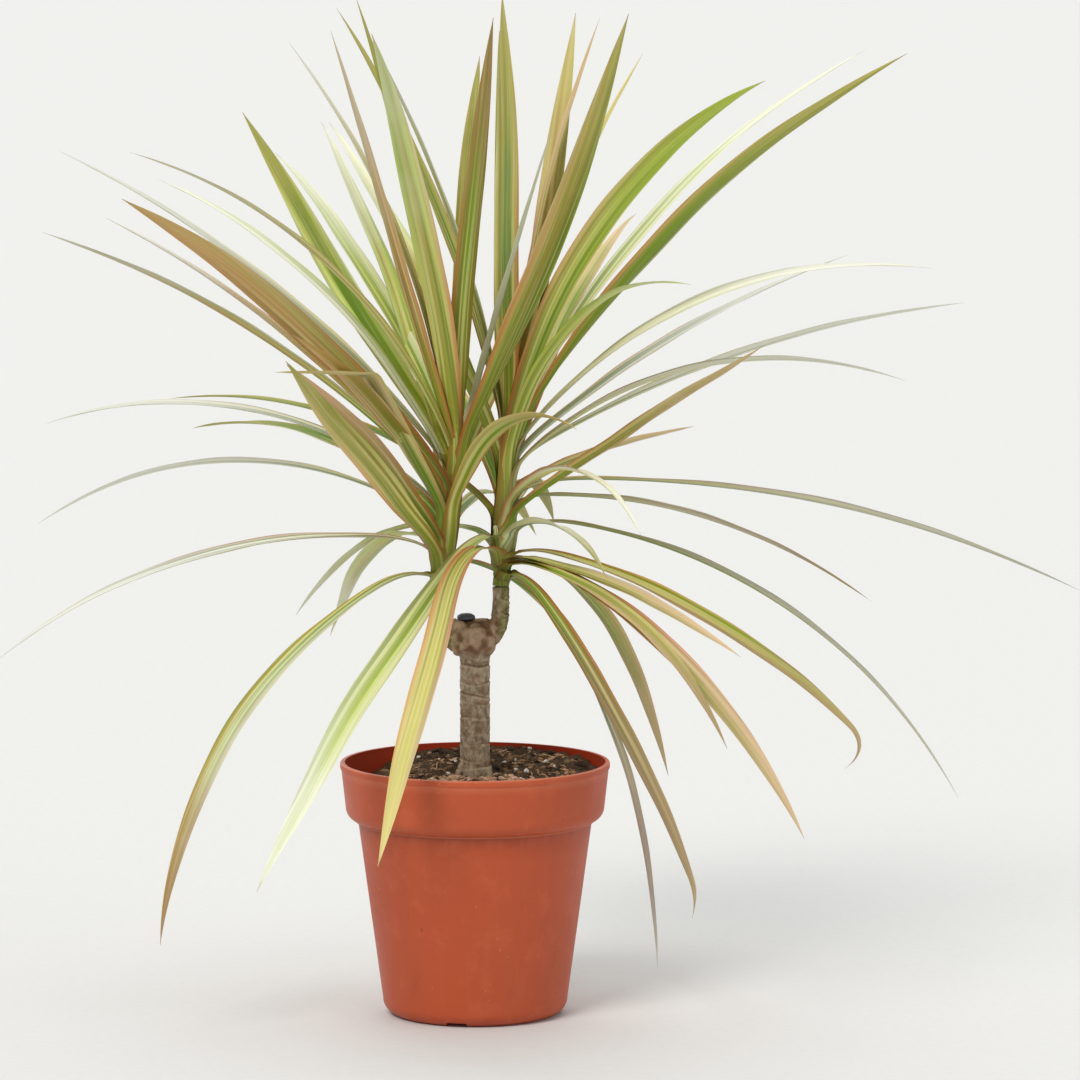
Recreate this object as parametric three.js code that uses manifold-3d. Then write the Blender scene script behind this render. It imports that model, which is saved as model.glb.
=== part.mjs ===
// Potted dragon tree (Dracaena marginata): one cut cane with two leafy shoots in a round plastic pot.
// Millimetres, +Z up. The origin is the middle of the pot's underside, where it stands.
// +X is to the right and -Y is towards the viewer. An azimuth of 0 points along +X, 90 along +Y.

import * as THREE from 'three';
import { mergeVertices } from 'three/addons/utils/BufferGeometryUtils.js';
import Module from 'manifold-3d';

const wasm = await Module();
wasm.setup();

// ---------------------------------------------------------------- driving dimensions

const GAP = 0.3;                  // clearance between pieces that touch
const BURY = 2;                   // how far a cutter runs past the face that it opens

const POT_HEIGHT = 113;
const POT_RIM_RADIUS = 60;        // a 12 cm pot across its rim
const POT_LIP_HEIGHT = 3;         // the thin lip along the top of the band
const POT_LIP_OUT = 0.5;          // how far it stands out of the band
const POT_EDGE = 0.7;             // bevel of the lip's corners
const POT_BAND_HEIGHT = 20;       // the wider band under the rim
const POT_BAND_RADIUS = 57.6;     // the band where its lower edge starts to turn in
const POT_BAND_CURVE = 6;         // radius of that turn
const POT_WALL_TOP_RADIUS = 52;   // the wall under the band
const POT_WALL_FOOT_RADIUS = 41.2;
const POT_CORNER = 7;             // rounding from the wall to the foot
const POT_WALL = 1.4;             // moulded wall thickness
const POT_FLOOR = 1.8;
const POT_FOOT_RISE = 2;          // the foot ring lifts the floor by this
const POT_FOOT_RING = 6;          // width of the foot ring
const POT_BOSS_RADIUS = 11;       // round pad under the middle, level with the foot ring
const POT_DRAFT = 1;              // slope of the sides of the foot ring and the pad
const POT_SIDES = 48;
const DRAIN_COUNT = 4;
const DRAIN_WIDTH = 9.5;
const DRAIN_FIRST = 258;          // azimuth of the notch that shows at the front
const DRAIN_HOLE_RADIUS = 3.5;
const DRAIN_HOLE_PLACE = 23;      // from the middle of the pot
const DRAIN_HOLE_SIDES = 12;

const SOIL_LEVEL = 107.3;         // height of the soil round the cane
const SOIL_RISE = [0.02, 0.06];   // slope to the right and to the back
const SOIL_HOLLOW = { x: -50, y: 26, depth: 7, spread: 20 };
const SOIL_LUMP = 0.7;            // height of the lumps
const SOIL_RINGS = 8;

const CANE_RADIUS = 6.6;
const CANE_TOP = 166;
const CANE_DEPTH = 20;            // how far the cane stands in the soil
const CANE_RING_PITCH = 5.2;      // from one leaf scar to the next
const CANE_RING_RELIEF = 0.22;
const CANE_HEAD = 9;              // over this height the cane swells into its head
const CANE_HEAD_GROWTH = 0.9;
const CANE_STEPS = 32;
const CANE_SIDES = 15;
const KNOB_CENTRE = [-0.4, 0, 169];
const KNOB_RADII = [10, 8.4, 8.6];
const KNOB_SQUARENESS = 3;        // 2 is an ellipsoid, and more is boxier
const KNOB_TOP = 176.5;           // the cut face
const SHOOT_RADIUS = 3.8;
const SHOOT_BASE_GROWTH = 1.1;    // a shoot is thicker where it breaks out
const SHOOT_BASE_SHARE = 0.4;     // over this share of its length
const SHOOT_LEAVES_KNOB = { left: 166.5, right: 168 };
const SHOOT_END = 191;            // where bare bark gives way to the green, leafy part
const SHOOT_STEPS = 14;
const SHOOT_SIDES = 10;

const WAX_CENTRE = [-4.0, -1.0];
const WAX_RADII = [3.9, 3.6];
const WAX_THICKNESS = 2.7;
const WAX_SIDES = 18;

const CORE_FOOT_RADIUS = 3.9;     // the green stem under the leaves
const CORE_BODY_RADIUS = 5.4;     // the bundle of leaf bases round it
const CORE_TIP_RADIUS = 2.6;
const CORE_SWELLS = [0.08, 0.28];   // shares of the stem between which it swells to its body
const CORE_STEPS = 10;

const LEAF_SAMPLES = 96;          // fine steps along a leaf's course
const LEAF_SECTIONS = 10;         // sections that the solid blade is lofted through
const LEAF_CROWDING = 1.35;       // over 1, the sections crowd towards the root
const LEAF_KEEL = 1.4;            // thickness along the midrib
const LEAF_KEEL_TIP = 0.6;
const LEAF_CHANNEL = 0.24;        // rise of the edges over the midrib, per unit of half width
const LEAF_BASE_WIDTH = 0.66;     // share of the full width where the blade clasps the stem
const LEAF_FULL_FROM = 0.4;       // the blade has its full width between these shares of its length
const LEAF_FULL_TO = 0.46;
const LEAF_TIP_WIDTH = 0.06;
const LEAF_TAPER = 2.2;           // 1 is a straight taper, and more keeps the blade wide for longer
const SHEATH_SHARE = 0.16;        // the first part of a leaf hugs the stem before it spreads
const CLEAR_OF_LEAVES = 1.7;
const CLEAR_OF_WOOD = 3;
const TURN_STEP = 2;              // a leaf in another's way is turned aside by steps of this
const TURN_STEPS = 20;

// Foot and top of each crown's axis.
const CROWNS = {
  left: { foot: [-16, -3, 191.3], top: [-7.5, -5, 246] },
  right: { foot: [11.5, 3, 191.3], top: [14.5, 4, 250] },
};

// The leaves that show. Each row: root (0 at the foot of the crown's axis, 1 at its top), azimuth,
// lift over the horizontal, droop from root to tip, length, width, and what else bends it: roll
// turns the blade about its own midrib, and fold is [angle, start, span] of a crease or curled
// tip, as shares of the length. Angles are in degrees.
const LEFT_LEAVES = [
  [0.05, 207, -17, 67, 224, 10, { roll: -25 }],
  [0.22, 176, 9, 48, 216, 8, { roll: -20 }],
  [0.14, 250, 29, 0, 210, 11, { roll: 30 }],
  [0.24, 243, 41, 16, 172, 10, { roll: 25 }],
  [0.38, 187, 38, 72, 196, 8, { roll: 20 }],
  [0.40, 300, 68, 84, 142, 9, { roll: -20 }],
  [0.46, 240, 48, 6, 174, 9, { roll: 10, fold: [38, 0.54, 0.06] }],
  [0.52, 172, 43, 62, 198, 8, { roll: -12 }],
  [0.56, 237, 47, 22, 150, 10, { roll: 15 }],
  [0.58, 157, 49, 26, 216, 9],
  [0.64, 184, 48, 29, 221, 9, { roll: 20 }],
  [0.68, 224, 46, 20, 238, 12, { roll: 50 }],
  [0.76, 345, 76, 4, 168, 9],
  [0.78, 150, 62, 44, 212, 9],
  [0.82, 170, 52, 27, 234, 9, { roll: -12 }],
  [0.84, 285, 81, 20, 220, 10],
  [0.87, 128, 41, -4, 226, 12, { roll: -30 }],
  [0.90, 150, 83, 35, 212, 9, { roll: 12 }],
  [0.92, 205, 70, 54, 220, 9],
  [0.94, 215, 71, 0, 206, 9],
  [0.95, 326, 60, -10, 222, 12, { roll: -45 }],
  [0.97, 120, 49, 25, 220, 10],
  [1.00, 250, 74, 25, 220, 12, { roll: 8 }],
];
const RIGHT_LEAVES = [
  [0.20, 242, 0, 0, 185, 12, { roll: -10, fold: [60, 0.06, 0.3] }],
  [0.05, 30, -50, 38, 212, 8],
  [0.07, 312, -36, 26, 196, 10, { fold: [45, 0.9, 0.1] }],
  [0.10, 318, 0, 57, 158, 8, { roll: 10 }],
  [0.13, 325, -12, 48, 203, 10, { roll: 28 }],
  [0.16, 330, -5, 26, 128, 8, { roll: 20 }],
  [0.19, 340, -8, 38, 204, 9, { roll: 25, fold: [95, 0.88, 0.12] }],
  [0.36, 226, -36, 20, 212, 12, { roll: -30 }],
  [0.32, 300, 30, 70, 98, 8, { roll: -20 }],
  [0.36, 350, 0, 61, 250, 9, { roll: -20 }],
  [0.42, 315, 30, 3, 182, 9, { roll: -15 }],
  [0.50, 300, 45, 88, 134, 8, { roll: -20 }],
  [0.56, 338, 8, 41, 182, 9, { roll: -20 }],
  [0.62, 3, 4, 30, 268, 8, { roll: -20 }],
  [0.66, 40, 17, 12, 116, 8, { roll: 10 }],
  [0.74, 335, 46, 62, 210, 8, { roll: -15 }],
  [0.78, 305, 74, 79, 182, 9],
  [0.80, 345, 33, 25, 225, 8, { roll: -20 }],
  [0.83, 40, 32, 20, 228, 8],
  [0.86, 8, 56, 64, 225, 8, { roll: 20 }],
  [0.88, 20, 83, 25, 196, 9],
  [0.90, 345, 62, 34, 262, 10, { roll: -45 }],
  [0.92, 20, 66, 40, 256, 9, { roll: 12 }],
  [0.93, 165, 82, 22, 204, 8],
  [0.95, 312, 73, 54, 247, 12, { roll: -30 }],
  [0.96, 36, 76, -6, 200, 11, { roll: 45 }],
  [0.97, 22, 86, 18, 200, 8],
  [1.00, 95, 93, 18, 205, 11],
];

// The leaves at the back, which the front ones hide, follow one rule: from the lowest, hanging ones
// to the upright young ones. Each pair of values is for the first and the last leaf, and spread is
// the largest draw to either side.
const BACK_LEAF_RULE = {
  root: [0.08, 0.97],
  lift: [-4, 78],
  liftSpread: 4,
  droop: [52, 18],
  droopSpread: 7,
  length: [200, 240],
  width: [8, 10.5],
  turn: 0.618,                    // share of the arc from one leaf to the next
};
const BACK_LEAVES = [
  { crown: 'left', count: 9, arc: [62, 136], seed: 11 },
  { crown: 'right', count: 9, arc: [64, 150], seed: 29 },
];

const COLOURS = {
  pot: { color: 0xb0583a, roughness: 0.5 },
  soil: { color: 0x4a3a2c, roughness: 1.0 },
  trunk: { color: 0x8a7a66, roughness: 0.9 },
  wax: { color: 0x3c4148, roughness: 0.45 },
  leaf: { color: 0x7f9a3c, roughness: 0.55 },
};

// ---------------------------------------------------------------- solids and meshes

const radians = (degrees) => (degrees * Math.PI) / 180;
const mix = (a, b, t) => a + (b - a) * t;

function ease(t) {
  const s = Math.min(Math.max(t, 0), 1);
  return s * s * (3 - 2 * s);
}

// A closed three.js geometry as a solid that can be joined and cut.
function toSolid(geometry) {
  const bare = geometry.clone();
  bare.deleteAttribute('normal');
  bare.deleteAttribute('uv');
  const merged = mergeVertices(bare, 1e-4);
  return new wasm.Manifold(new wasm.Mesh({
    numProp: 3,
    vertProperties: new Float32Array(merged.attributes.position.array),
    triVerts: new Uint32Array(merged.index.array),
  }));
}

function toGeometry(solid) {
  const mesh = solid.getMesh();
  const geometry = new THREE.BufferGeometry();
  geometry.setAttribute('position', new THREE.BufferAttribute(mesh.vertProperties, 3));
  geometry.setIndex(new THREE.BufferAttribute(mesh.triVerts, 1));
  geometry.computeVertexNormals();
  return geometry;
}

// The largest body of a joined solid: scraps and sealed hollows are left behind.
function largestBody(solid) {
  return solid.decompose().reduce((best, body) => (body.volume() > best.volume() ? body : best));
}

// A closed loft through rings of equal numbers of points. Each end ring is closed by a fan from
// its first point. Every quad is split along the same diagonal.
function loft(rings) {
  const sides = rings[0].length;
  const index = [];
  for (let i = 0; i < rings.length - 1; i += 1) {
    for (let j = 0; j < sides; j += 1) {
      const a = i * sides + j;
      const b = i * sides + ((j + 1) % sides);
      index.push(a, b, b + sides, a, b + sides, a + sides);
    }
  }
  const last = (rings.length - 1) * sides;
  for (let j = 1; j < sides - 1; j += 1) {
    index.push(0, j + 1, j);
    index.push(last, last + j, last + j + 1);
  }
  const geometry = new THREE.BufferGeometry();
  geometry.setAttribute('position', new THREE.Float32BufferAttribute(rings.flat(2), 3));
  geometry.setIndex(index);
  return geometry;
}

// A body turned about the Z axis from [radius, height] pairs that start and end on the axis.
function turned(profile, sides) {
  const points = profile.map(([radius, height]) => new THREE.Vector2(radius, height));
  return new THREE.LatheGeometry(points, sides).rotateX(Math.PI / 2);
}

// Points of an arc in a profile, from one angle to another, both ends included.
function arc(centreR, centreZ, radius, fromDegrees, toDegrees, steps) {
  return Array.from({ length: steps + 1 }, (_, i) => {
    const angle = radians(mix(fromDegrees, toDegrees, i / steps));
    return [centreR + radius * Math.cos(angle), centreZ + radius * Math.sin(angle)];
  });
}

function named(name, geometry, look) {
  const mesh = new THREE.Mesh(geometry, new THREE.MeshStandardMaterial({ ...look, metalness: 0 }));
  mesh.name = name;
  return mesh;
}

// ---------------------------------------------------------------- pot

const BAND_FOOT = POT_HEIGHT - POT_BAND_HEIGHT;
const WALL_TOP = BAND_FOOT - POT_BAND_CURVE - POT_EDGE;
const FOOT_RADIUS = POT_WALL_FOOT_RADIUS - POT_CORNER;
const FLOOR_TOP = POT_FOOT_RISE + POT_FLOOR;

// Outside of the pot, from the foot to the lip.
function potOutside() {
  const lipFoot = POT_HEIGHT - POT_LIP_HEIGHT;
  return [
    ...arc(FOOT_RADIUS, POT_CORNER, POT_CORNER, -90, 0, 5),
    [POT_WALL_TOP_RADIUS, WALL_TOP],
    ...arc(POT_BAND_RADIUS - POT_BAND_CURVE, BAND_FOOT, POT_BAND_CURVE, -80, 0, 4),
    [POT_RIM_RADIUS - POT_LIP_OUT, lipFoot],
    [POT_RIM_RADIUS, lipFoot + POT_EDGE],
    [POT_RIM_RADIUS, POT_HEIGHT - POT_EDGE],
    [POT_RIM_RADIUS - POT_EDGE, POT_HEIGHT],
  ];
}

// Inside of the pot from the lip down to the floor, moved in by an offset for what fills it.
function potInside(offset) {
  const inwards = POT_WALL + offset;
  const floor = FLOOR_TOP + offset;
  const corner = POT_CORNER - inwards;
  return [
    [POT_RIM_RADIUS - POT_EDGE - inwards, POT_HEIGHT],
    [POT_RIM_RADIUS - POT_LIP_OUT - inwards, POT_HEIGHT - POT_LIP_HEIGHT],
    [POT_BAND_RADIUS - inwards, BAND_FOOT],
    [POT_WALL_TOP_RADIUS - inwards, WALL_TOP],
    ...arc(FOOT_RADIUS, floor + corner, corner, 0, -90, 3),
  ];
}

// One drainage notch through the foot ring, with the hole that it leads to.
function makeDrain(azimuth) {
  const run = FOOT_RADIUS + POT_CORNER + BURY - DRAIN_HOLE_PLACE;
  const notch = new THREE.BoxGeometry(run, DRAIN_WIDTH, POT_FOOT_RISE + BURY);
  notch.translate(DRAIN_HOLE_PLACE + run / 2, 0, (POT_FOOT_RISE - BURY) / 2);
  const through = 2 * (FLOOR_TOP + BURY);
  const hole = new THREE.CylinderGeometry(
    DRAIN_HOLE_RADIUS, DRAIN_HOLE_RADIUS, through, DRAIN_HOLE_SIDES,
  );
  hole.rotateX(Math.PI / 2).translate(DRAIN_HOLE_PLACE, 0, 0);
  const turn = radians(azimuth);
  return toSolid(notch.rotateZ(turn)).add(toSolid(hole.rotateZ(turn)));
}

function makePot() {
  const profile = [
    [0, 0],
    [POT_BOSS_RADIUS, 0],
    [POT_BOSS_RADIUS + POT_DRAFT, POT_FOOT_RISE],
    [FOOT_RADIUS - POT_FOOT_RING - POT_DRAFT, POT_FOOT_RISE],
    [FOOT_RADIUS - POT_FOOT_RING, 0],
    ...potOutside(),
    ...potInside(0),
    [0, FLOOR_TOP],
  ];
  let body = toSolid(turned(profile, POT_SIDES));
  for (let i = 0; i < DRAIN_COUNT; i += 1) {
    body = body.subtract(makeDrain(DRAIN_FIRST + (i * 360) / DRAIN_COUNT));
  }
  return named('pot', toGeometry(body), COLOURS.pot);
}

// ---------------------------------------------------------------- soil

// The soil rises towards the back, sinks at the left, and is lumpy all over.
function soilHeight(x, y) {
  const [right, back] = SOIL_RISE;
  const away = Math.hypot(x - SOIL_HOLLOW.x, y - SOIL_HOLLOW.y) / SOIL_HOLLOW.spread;
  const hollow = SOIL_HOLLOW.depth * Math.exp(-away * away);
  const broad = Math.sin(0.31 * x + 1.3) * Math.cos(0.27 * y);
  const fine = Math.sin(0.53 * x - 0.47 * y);
  return SOIL_LEVEL + right * x + back * y - hollow + SOIL_LUMP * (broad + 0.7 * fine);
}

function makeSoil() {
  const wall = potInside(GAP).slice(2).reverse();
  const circle = (radius, heightAt) => Array.from({ length: POT_SIDES }, (_, j) => {
    const turn = (j * 2 * Math.PI) / POT_SIDES;
    const x = radius * Math.cos(turn);
    const y = radius * Math.sin(turn);
    return [x, y, heightAt(x, y)];
  });
  // Rings climb the wall from the floor to the band, and then step in over the surface.
  const rings = wall.map(([radius, height]) => circle(radius, () => height));
  const [edge] = wall.at(-1);
  for (let k = 0; k < SOIL_RINGS; k += 1) {
    rings.push(circle(edge * (1 - k / SOIL_RINGS), soilHeight));
  }
  const holeDepth = CANE_DEPTH + GAP;
  const holeRadius = CANE_RADIUS + CANE_RING_RELIEF + 2 * GAP;
  const hole = new THREE.CylinderGeometry(holeRadius, holeRadius, 2 * holeDepth, CANE_SIDES);
  hole.rotateX(Math.PI / 2).translate(0, 0, SOIL_LEVEL);
  return named('soil', toGeometry(toSolid(loft(rings)).subtract(toSolid(hole))), COLOURS.soil);
}

// ---------------------------------------------------------------- trunk

// A round tube through the points of a curve, with a radius for each share of its length.
function tube(curve, steps, radiusAt) {
  const frames = curve.computeFrenetFrames(steps, false);
  const rings = frames.normals.map((normal, i) => {
    const centre = curve.getPointAt(i / steps);
    const radius = radiusAt(i / steps);
    return Array.from({ length: SHOOT_SIDES }, (_, j) => {
      const turn = (j * 2 * Math.PI) / SHOOT_SIDES;
      const point = centre.clone();
      point.addScaledVector(normal, radius * Math.cos(turn));
      point.addScaledVector(frames.binormals[i], radius * Math.sin(turn));
      return point.toArray();
    });
  });
  return loft(rings);
}

// The straight cane, ringed by old leaf scars above the soil and swelling into its head.
function makeCane() {
  const foot = SOIL_LEVEL - CANE_DEPTH;
  const profile = [[0, foot]];
  for (let i = 0; i <= CANE_STEPS; i += 1) {
    const z = mix(foot, CANE_TOP, i / CANE_STEPS);
    const bare = ease((z - SOIL_LEVEL) / CANE_RING_PITCH);
    const scar = bare * CANE_RING_RELIEF * Math.cos((2 * Math.PI * z) / CANE_RING_PITCH);
    const head = CANE_HEAD_GROWTH * ease((z - CANE_TOP + CANE_HEAD) / CANE_HEAD);
    profile.push([CANE_RADIUS + scar + head, z]);
  }
  profile.push([0, CANE_TOP]);
  return toSolid(turned(profile, CANE_SIDES));
}

// The lumpy head where the cane was cut and the shoots broke out, flat on top.
function makeKnob() {
  const geometry = new THREE.SphereGeometry(1, 18, 12);
  const place = geometry.attributes.position;
  for (let i = 0; i < place.count; i += 1) {
    const unit = [place.getX(i), place.getY(i), place.getZ(i)];
    const [x, y, z] = unit;
    const powers = unit.reduce((sum, v) => sum + Math.abs(v) ** KNOB_SQUARENESS, 0);
    const box = powers ** (-1 / KNOB_SQUARENESS);
    const lump = 1 + 0.07 * Math.sin(5 * x + 2) * Math.cos(4 * z) + 0.05 * Math.sin(6 * y + 3 * z);
    place.setXYZ(i, ...unit.map((v, k) => KNOB_CENTRE[k] + v * KNOB_RADII[k] * box * lump));
  }
  const size = 4 * KNOB_RADII[0];
  const above = new THREE.BoxGeometry(size, size, size).translate(0, 0, KNOB_TOP + size / 2);
  return toSolid(geometry).subtract(toSolid(above));
}

// A bare shoot: it leaves the side of the knob, turns up and ends under its crown.
function makeShoot(side) {
  const [x, y] = CROWNS[side].foot;
  const start = SHOOT_LEAVES_KNOB[side];
  const curve = new THREE.CatmullRomCurve3([
    new THREE.Vector3(x * 0.2, y * 0.2, start),
    new THREE.Vector3(x * 0.62, y * 0.5, start + 0.6),
    new THREE.Vector3(x * 0.93, y * 0.85, start + 6),
    new THREE.Vector3(x, y, start + 15),
    new THREE.Vector3(x, y, SHOOT_END + BURY),
  ]);
  const radiusAt = (t) => SHOOT_RADIUS + SHOOT_BASE_GROWTH * (1 - ease(t / SHOOT_BASE_SHARE));
  return toSolid(tube(curve, SHOOT_STEPS, radiusAt));
}

function makeTrunk() {
  const whole = makeCane().add(makeKnob()).add(makeShoot('left')).add(makeShoot('right'));
  const size = 100;
  const above = new THREE.BoxGeometry(size, size, size).translate(0, 0, SHOOT_END + size / 2);
  return named('trunk', toGeometry(largestBody(whole.subtract(toSolid(above)))), COLOURS.trunk);
}

// The dark wax that seals the cut top of the cane: a thin oval cap with a soft edge.
function makeWaxSeal() {
  const foot = KNOB_TOP + GAP;
  const profile = [
    [0, foot],
    [0.96, foot],
    [1, foot + 0.3 * WAX_THICKNESS],
    [0.94, foot + 0.6 * WAX_THICKNESS],
    [0.7, foot + 0.85 * WAX_THICKNESS],
    [0, foot + WAX_THICKNESS],
  ];
  const geometry = turned(profile, WAX_SIDES);
  geometry.scale(...WAX_RADII, 1).translate(...WAX_CENTRE, 0);
  return named('wax_seal', toGeometry(toSolid(geometry)), COLOURS.wax);
}

// ---------------------------------------------------------------- leaves

function axisPoint(crown, share) {
  const { foot, top } = CROWNS[crown];
  return foot.map((value, i) => mix(value, top[i], share));
}

// Half the width of a blade: narrower where it clasps the stem, widest before the middle,
// then a long taper to the tip.
function halfWidth(s, width) {
  const grown = mix(LEAF_BASE_WIDTH, 1, ease(s / LEAF_FULL_FROM));
  const past = Math.max(0, (s - LEAF_FULL_TO) / (1 - LEAF_FULL_TO));
  return 0.5 * width * grown * Math.max(LEAF_TIP_WIDTH, 1 - past ** LEAF_TAPER);
}

function directionAt(leaf, s) {
  const [angle, start, span] = leaf.fold;
  const hug = 0.5 * (90 - leaf.lift) * Math.max(0, 1 - s / SHEATH_SHARE) ** 2;
  const pitch = radians(leaf.lift + hug - leaf.droop * s - angle * ease((s - start) / span));
  const heading = radians(leaf.azimuth);
  return [
    Math.cos(pitch) * Math.cos(heading),
    Math.cos(pitch) * Math.sin(heading),
    Math.sin(pitch),
  ];
}

const cross = (a, b) => [
  a[1] * b[2] - a[2] * b[1],
  a[2] * b[0] - a[0] * b[2],
  a[0] * b[1] - a[1] * b[0],
];

// The course of a leaf: fine samples of its midrib, with the blade's side and upper directions.
function course(leaf) {
  const heading = radians(leaf.azimuth);
  const level = [-Math.sin(heading), Math.cos(heading), 0];
  const point = axisPoint(leaf.crown, leaf.root);
  const samples = [];
  for (let i = 0; i <= LEAF_SAMPLES; i += 1) {
    const s = i / LEAF_SAMPLES;
    const along = directionAt(leaf, s);
    const face = cross(along, level);
    const roll = radians(leaf.roll) * ease(2 * s);
    const side = level.map((v, k) => v * Math.cos(roll) + face[k] * Math.sin(roll));
    const up = cross(along, side);
    samples.push({ point: [...point], side, up, half: halfWidth(s, leaf.width) });
    const ahead = directionAt(leaf, s + 0.5 / LEAF_SAMPLES);
    ahead.forEach((v, k) => { point[k] += (v * leaf.length) / LEAF_SAMPLES; });
  }
  return samples;
}

// How far a blade reaches from its midrib along a direction, times that direction's length.
function reach({ half, side }, [x, y, z]) {
  return half * Math.abs(side[0] * x + side[1] * y + side[2] * z);
}

function leavesMeet(a, b) {
  return a.some((p) => b.some((q) => {
    const d = p.point.map((v, k) => v - q.point[k]);
    const away = Math.hypot(...d);
    if (away > p.half + q.half + CLEAR_OF_LEAVES) return false;
    return away * away < reach(p, d) + reach(q, d) + CLEAR_OF_LEAVES * away;
  }));
}

const otherCrown = (crown) => (crown === 'left' ? 'right' : 'left');

// Whether a blade comes too near the pot or the stem that carries the other crown.
function meetsWood(samples, crown) {
  const { foot, top } = CROWNS[otherCrown(crown)];
  return samples.some(({ point: [x, y, z], half }) => {
    const clear = CLEAR_OF_WOOD + half;
    if (z < POT_HEIGHT + CLEAR_OF_WOOD && Math.hypot(x, y) < POT_RIM_RADIUS + clear) return true;
    const share = (z - foot[2]) / (top[2] - foot[2]);
    if (share > 1) return false;
    const [stemX, stemY] = axisPoint(otherCrown(crown), Math.max(share, 0));
    return Math.hypot(x - stemX, y - stemY) < CORE_BODY_RADIUS + clear;
  });
}

// A leaf in the way of the other crown is turned aside, to one side and the other by turns, by the
// least that clears it. One that no turn clears is left out.
function settle(leaf, others) {
  for (let i = 0; i <= 2 * TURN_STEPS; i += 1) {
    const aside = TURN_STEP * Math.ceil(i / 2) * (i % 2 ? 1 : -1);
    const samples = course({ ...leaf, azimuth: leaf.azimuth + aside });
    const blocked = meetsWood(samples, leaf.crown) || others.some((other) => leavesMeet(samples, other));
    if (!blocked) return samples;
  }
  return null;
}

function leafFromRow(crown, [root, azimuth, lift, droop, length, width, bend = {}]) {
  const { roll = 0, fold = [0, 0, 1] } = bend;
  return { crown, root, azimuth, lift, droop, length, width, roll, fold };
}

// A small seeded generator of numbers from 0 to 1.
function drawFrom(seed) {
  let state = seed;
  return () => {
    state = (state * 1664525 + 1013904223) % 4294967296;
    return state / 4294967296;
  };
}

function backLeaves({ crown, count, arc: [from, to], seed }) {
  const rule = BACK_LEAF_RULE;
  const draw = drawFrom(seed);
  return Array.from({ length: count }, (_, i) => {
    const share = i / (count - 1);
    return leafFromRow(crown, [
      mix(...rule.root, share),
      mix(from, to, (i * rule.turn) % 1),
      mix(...rule.lift, share) + rule.liftSpread * (2 * draw() - 1),
      mix(...rule.droop, share) + rule.droopSpread * (2 * draw() - 1),
      mix(...rule.length, draw()),
      mix(...rule.width, draw()),
    ]);
  });
}

function settleLeaves() {
  const settled = { left: [], right: [] };
  const wanted = [
    ...LEFT_LEAVES.map((row) => leafFromRow('left', row)),
    ...RIGHT_LEAVES.map((row) => leafFromRow('right', row)),
    ...BACK_LEAVES.flatMap(backLeaves),
  ];
  wanted.forEach((leaf) => {
    const samples = settle(leaf, settled[otherCrown(leaf.crown)]);
    if (samples) settled[leaf.crown].push(samples);
  });
  return settled;
}

// The solid blade: a shallow channel with sharp edges and a keel, four points to a section.
function makeBlade(samples) {
  const rings = [];
  for (let k = 0; k <= LEAF_SECTIONS; k += 1) {
    const i = Math.round(LEAF_SAMPLES * (k / LEAF_SECTIONS) ** LEAF_CROWDING);
    const { point, side, up, half } = samples[i];
    const keel = mix(LEAF_KEEL, LEAF_KEEL_TIP, i / LEAF_SAMPLES);
    const at = (across, rise) => point.map((v, n) => v + side[n] * across + up[n] * rise);
    rings.push([
      at(half, half * LEAF_CHANNEL),
      at(0, 0),
      at(-half, half * LEAF_CHANNEL),
      at(0, -keel),
    ]);
  }
  return toSolid(loft(rings));
}

// The green stem inside a crown, thickest where the leaf bases wrap it.
function makeCore(crown) {
  const { foot, top } = CROWNS[crown];
  const curve = new THREE.LineCurve3(new THREE.Vector3(...foot), new THREE.Vector3(...top));
  const [from, to] = CORE_SWELLS;
  const radiusAt = (t) => (t < to
    ? mix(CORE_FOOT_RADIUS, CORE_BODY_RADIUS, ease((t - from) / (to - from)))
    : mix(CORE_BODY_RADIUS, CORE_TIP_RADIUS, ease((t - to) / (1 - to))));
  return toSolid(tube(curve, CORE_STEPS, radiusAt));
}

function makeCrown(crown, leaves) {
  const whole = leaves.reduce((sum, samples) => sum.add(makeBlade(samples)), makeCore(crown));
  const [x, y] = CROWNS[crown].foot;
  const size = 4 * CORE_BODY_RADIUS;
  const below = new THREE.BoxGeometry(size, size, size).translate(x, y, SHOOT_END + GAP - size / 2);
  const body = largestBody(whole.subtract(toSolid(below)));
  return named(`crown_${crown}`, toGeometry(body), COLOURS.leaf);
}

// ---------------------------------------------------------------- the plant

const leaves = settleLeaves();
const plant = new THREE.Group();
plant.add(makePot(), makeSoil(), makeTrunk(), makeWaxSeal());
plant.add(makeCrown('left', leaves.left), makeCrown('right', leaves.right));

export default plant;
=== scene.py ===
import math
import random

import bmesh
import bpy
import numpy as np
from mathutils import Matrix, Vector, noise


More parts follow.
